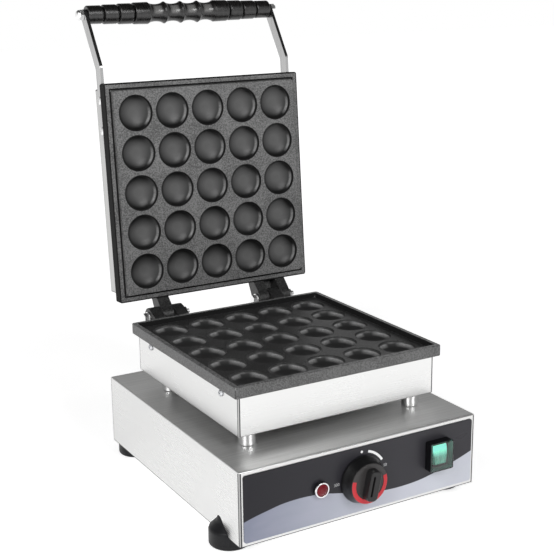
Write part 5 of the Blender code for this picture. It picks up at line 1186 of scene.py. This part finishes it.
# Handle arms
# Flat drawn steel bars, bent once above the plates' edge and screwed to the lid casing's
# sides; the edges are polished and the upper ends are rounded over the grip's rod.
ARM_THICKNESS = 4 * MM
ARM_HALF = 6.8 * MM
ARM_Z = 193.5 * MM
ARM_BACK_Y = 107 * MM
ARM_BEND_Y = 19.5 * MM
ARM_RISE = math.radians(29)
ARM_UPPER = 72 * MM
ARM_OUTSIDE = SEAT_X + ARM_THICKNESS + NUT_PLAY
ARM_SCREW_PLACES = {"rear": 94 * MM, "front": 58 * MM}
ROD_HOLE = 4.25 * MM
GRIP_AT = Vector((0, ARM_BEND_Y - ARM_UPPER * math.cos(ARM_RISE),
                  ARM_Z + ARM_UPPER * math.sin(ARM_RISE)))
arm_steel, shader, place = new_finish("drawn_bar_steel", 0.62, 0.2, METAL)
drawn_lines = noise(place, 1, (1500, 14, 1500))
bar_cloud = noise(place, 40)
paint(shader, mixed(span(drawn_lines, 0.3, 0.7), 0.36, 0.5),
      span(bar_cloud, 0.3, 0.7, 0.13, 0.24), drawn_lines, 0.008 * MM)
mitre = ARM_HALF * math.tan(ARM_RISE / 2)
arm_end = [math.pi / 2 - ARM_RISE + math.pi * step / BOSS_STEPS for step in range(BOSS_STEPS + 1)]
arm_outline = rounded([
    (ARM_BACK_Y, ARM_Z + ARM_HALF, 1 * MM),
    (ARM_BEND_Y + mitre, ARM_Z + ARM_HALF, 4 * MM),
    *[(GRIP_AT.y + ARM_HALF * math.cos(a), GRIP_AT.z + ARM_HALF * math.sin(a), 0) for a in arm_end],
    (ARM_BEND_Y - mitre, ARM_Z - ARM_HALF, 8 * MM),
    (ARM_BACK_Y, ARM_Z - ARM_HALF, 1 * MM),
], closed=True)
arm_mesh = carved(pressed("arm", arm_outline, ARM_THICKNESS, 0.35 * MM),
                  cut=[drill(ROD_HOLE, GRIP_AT, ACROSS)])
arm_screw_mesh = round_screw("arm_screw", 4.8 * MM, 1.8 * MM, 2.5 * MM, 13.8 * MM, 1.1 * MM)
for side, sign in SIDES.items():
    put("arm_bar_" + side, arm_mesh, arm_steel, "lid", "handle_arm_" + side,
        IN_LID @ Matrix.Translation((sign * (SEAT_X + ARM_THICKNESS / 2), 0, 0)))
    for end, y in ARM_SCREW_PLACES.items():
        corner = end + "_" + side
        put("arm_screw_cross_" + corner, arm_screw_mesh, bolt_steel, "lid",
            "arm_screw_" + corner, IN_LID @ facing_out(sign, ARM_OUTSIDE, y, ARM_Z))

# Grip
# Black turned phenolic on a steel rod: four grooved barrels at each end grow towards four
# scallops in the middle. Domed nuts close the rod outside the arms.
GRIP_HALF = 125 * MM
BARREL = 19.8 * MM
BARRELS = 4
BARREL_RADIUS, BARREL_GROWTH = 11, 0.7
SCALLOPS = 4
SCALLOP_STEPS = 24
SCALLOP_RIDGE, SCALLOP_CURVE = 0.1, 0.55
PEAK, VALLEY = 13.4 * MM, 10.3 * MM
GROOVE_HALF = 1.7 * MM
GROOVE_CUT = 3.2 * MM
# The way that the painted highlight in the scallops' valleys faces.
HIGHLIGHT_FACING = (-0.45, -0.89, 0)
ROD_HALF = SEAT_X + ARM_THICKNESS + 5 * MM
ROD_AROUND = 48
CAP_HEX, CAP_DOME, CAP_RADIUS = 4.5 * MM, 4 * MM, 7.2 * MM
DOME_STEPS = 12
grip_end = [(ROD_HOLE, GRIP_HALF, 0.4 * MM), (BARREL_RADIUS * MM, GRIP_HALF, 1.4 * MM)]
for barrel in range(BARRELS - 1):
    radius = (BARREL_RADIUS + BARREL_GROWTH * barrel) * MM
    groove = GRIP_HALF - (barrel + 1) * BARREL
    grip_end += [(radius, groove + GROOVE_HALF, 1.6 * MM), (radius - GROOVE_CUT, groove, 0.2 * MM),
                 (radius + BARREL_GROWTH * MM, groove - GROOVE_HALF, 1.6 * MM)]
scalloped = GRIP_HALF - BARRELS * BARREL
ridges = [scalloped - index * 2 * scalloped / SCALLOPS for index in range(SCALLOPS + 1)]
grip_middle = []
for first, last in zip(ridges, ridges[1:]):
    for step in range(SCALLOP_STEPS):
        share = step / SCALLOP_STEPS
        dip = max(math.sin(math.pi * share) - SCALLOP_RIDGE, 0) ** SCALLOP_CURVE
        radius = PEAK - (PEAK - VALLEY) * dip
        grip_middle.append((radius, first + (last - first) * share, 0))
grip_profile = grip_end + grip_middle + [(PEAK, ridges[-1], 0)]
grip_profile += [(radius, -height, fillet) for radius, height, fillet in reversed(grip_end)]
phenolic, shader, place = new_finish("turned_phenolic", 0.008, 0.3, {"Specular IOR Level": 0.6})
tool_marks = noise(place, 1, (120, 120, 900), 3)
polish = noise(place, 70)
spoke = vector_of("MULTIPLY", place, FLAT)
# A painted highlight: the front of each scallop's valley is painted light as the lamps' reflection.
valley_highlight = span(vector_of("LENGTH", spoke), VALLEY + 0.3 * MM, VALLEY + 1 * MM, 1, 0)
along = sum_of("ABSOLUTE", parts_of(place)["Z"])
valley_highlight = times(valley_highlight, sum_of("LESS_THAN", along, ridges[0]))
facing_light = vector_of("DOT_PRODUCT", vector_of("NORMALIZE", spoke), HIGHLIGHT_FACING)
valley_highlight = times(valley_highlight, span(facing_light, 0.8, 0.93))
turned_black = mixed(span(tool_marks, 0.35, 0.65), 0.001, (0.014, 0.013, 0.013))
paint(shader, mixed(valley_highlight, turned_black, (0.13, 0.128, 0.126)),
      span(polish, 0.3, 0.7, 0.22, 0.32), tool_marks, 0.03 * MM)
ALONG_ROD = Matrix.Translation(IN_LID @ GRIP_AT) @ ACROSS
put("grip_turned", turned("grip", grip_profile, closed=True), phenolic, "lid",
    "handle_grip", ALONG_ROD)
put("grip_rod", turned("rod", [
    (1 * MM, ROD_HALF, 0),
    (4 * MM, ROD_HALF, 0.6 * MM),
    (4 * MM, -ROD_HALF, 0.6 * MM),
    (1 * MM, -ROD_HALF, 0),
], around=ROD_AROUND), bolt_steel, "lid", "handle_rod", ALONG_ROD)

dome_radius = CAP_RADIUS * math.cos(math.pi / 6) - 0.2 * MM
dome = [(dome_radius, 2 * MM)]
for step in range(DOME_STEPS):
    angle = math.pi / 2 * step / DOME_STEPS
    dome.append((dome_radius * math.cos(angle), CAP_HEX + CAP_DOME * math.sin(angle)))
dome.append((0.1 * MM, CAP_HEX + CAP_DOME))
cap_mesh = carved(hexagon("cap_nut", CAP_RADIUS, 0, CAP_HEX), joined=[turned("dome", dome)],
                  cut=[drill(ROD_HOLE, ORIGIN, Matrix.Identity(4), 11 * MM)])
for side, sign in SIDES.items():
    put("cap_nut_domed_" + side, cap_mesh, bolt_steel, "lid", "cap_nut_" + side,
        IN_LID @ facing_out(sign, ARM_OUTSIDE, GRIP_AT.y, GRIP_AT.z))

# The scene brought up to date at the end
bpy.context.view_layer.update()
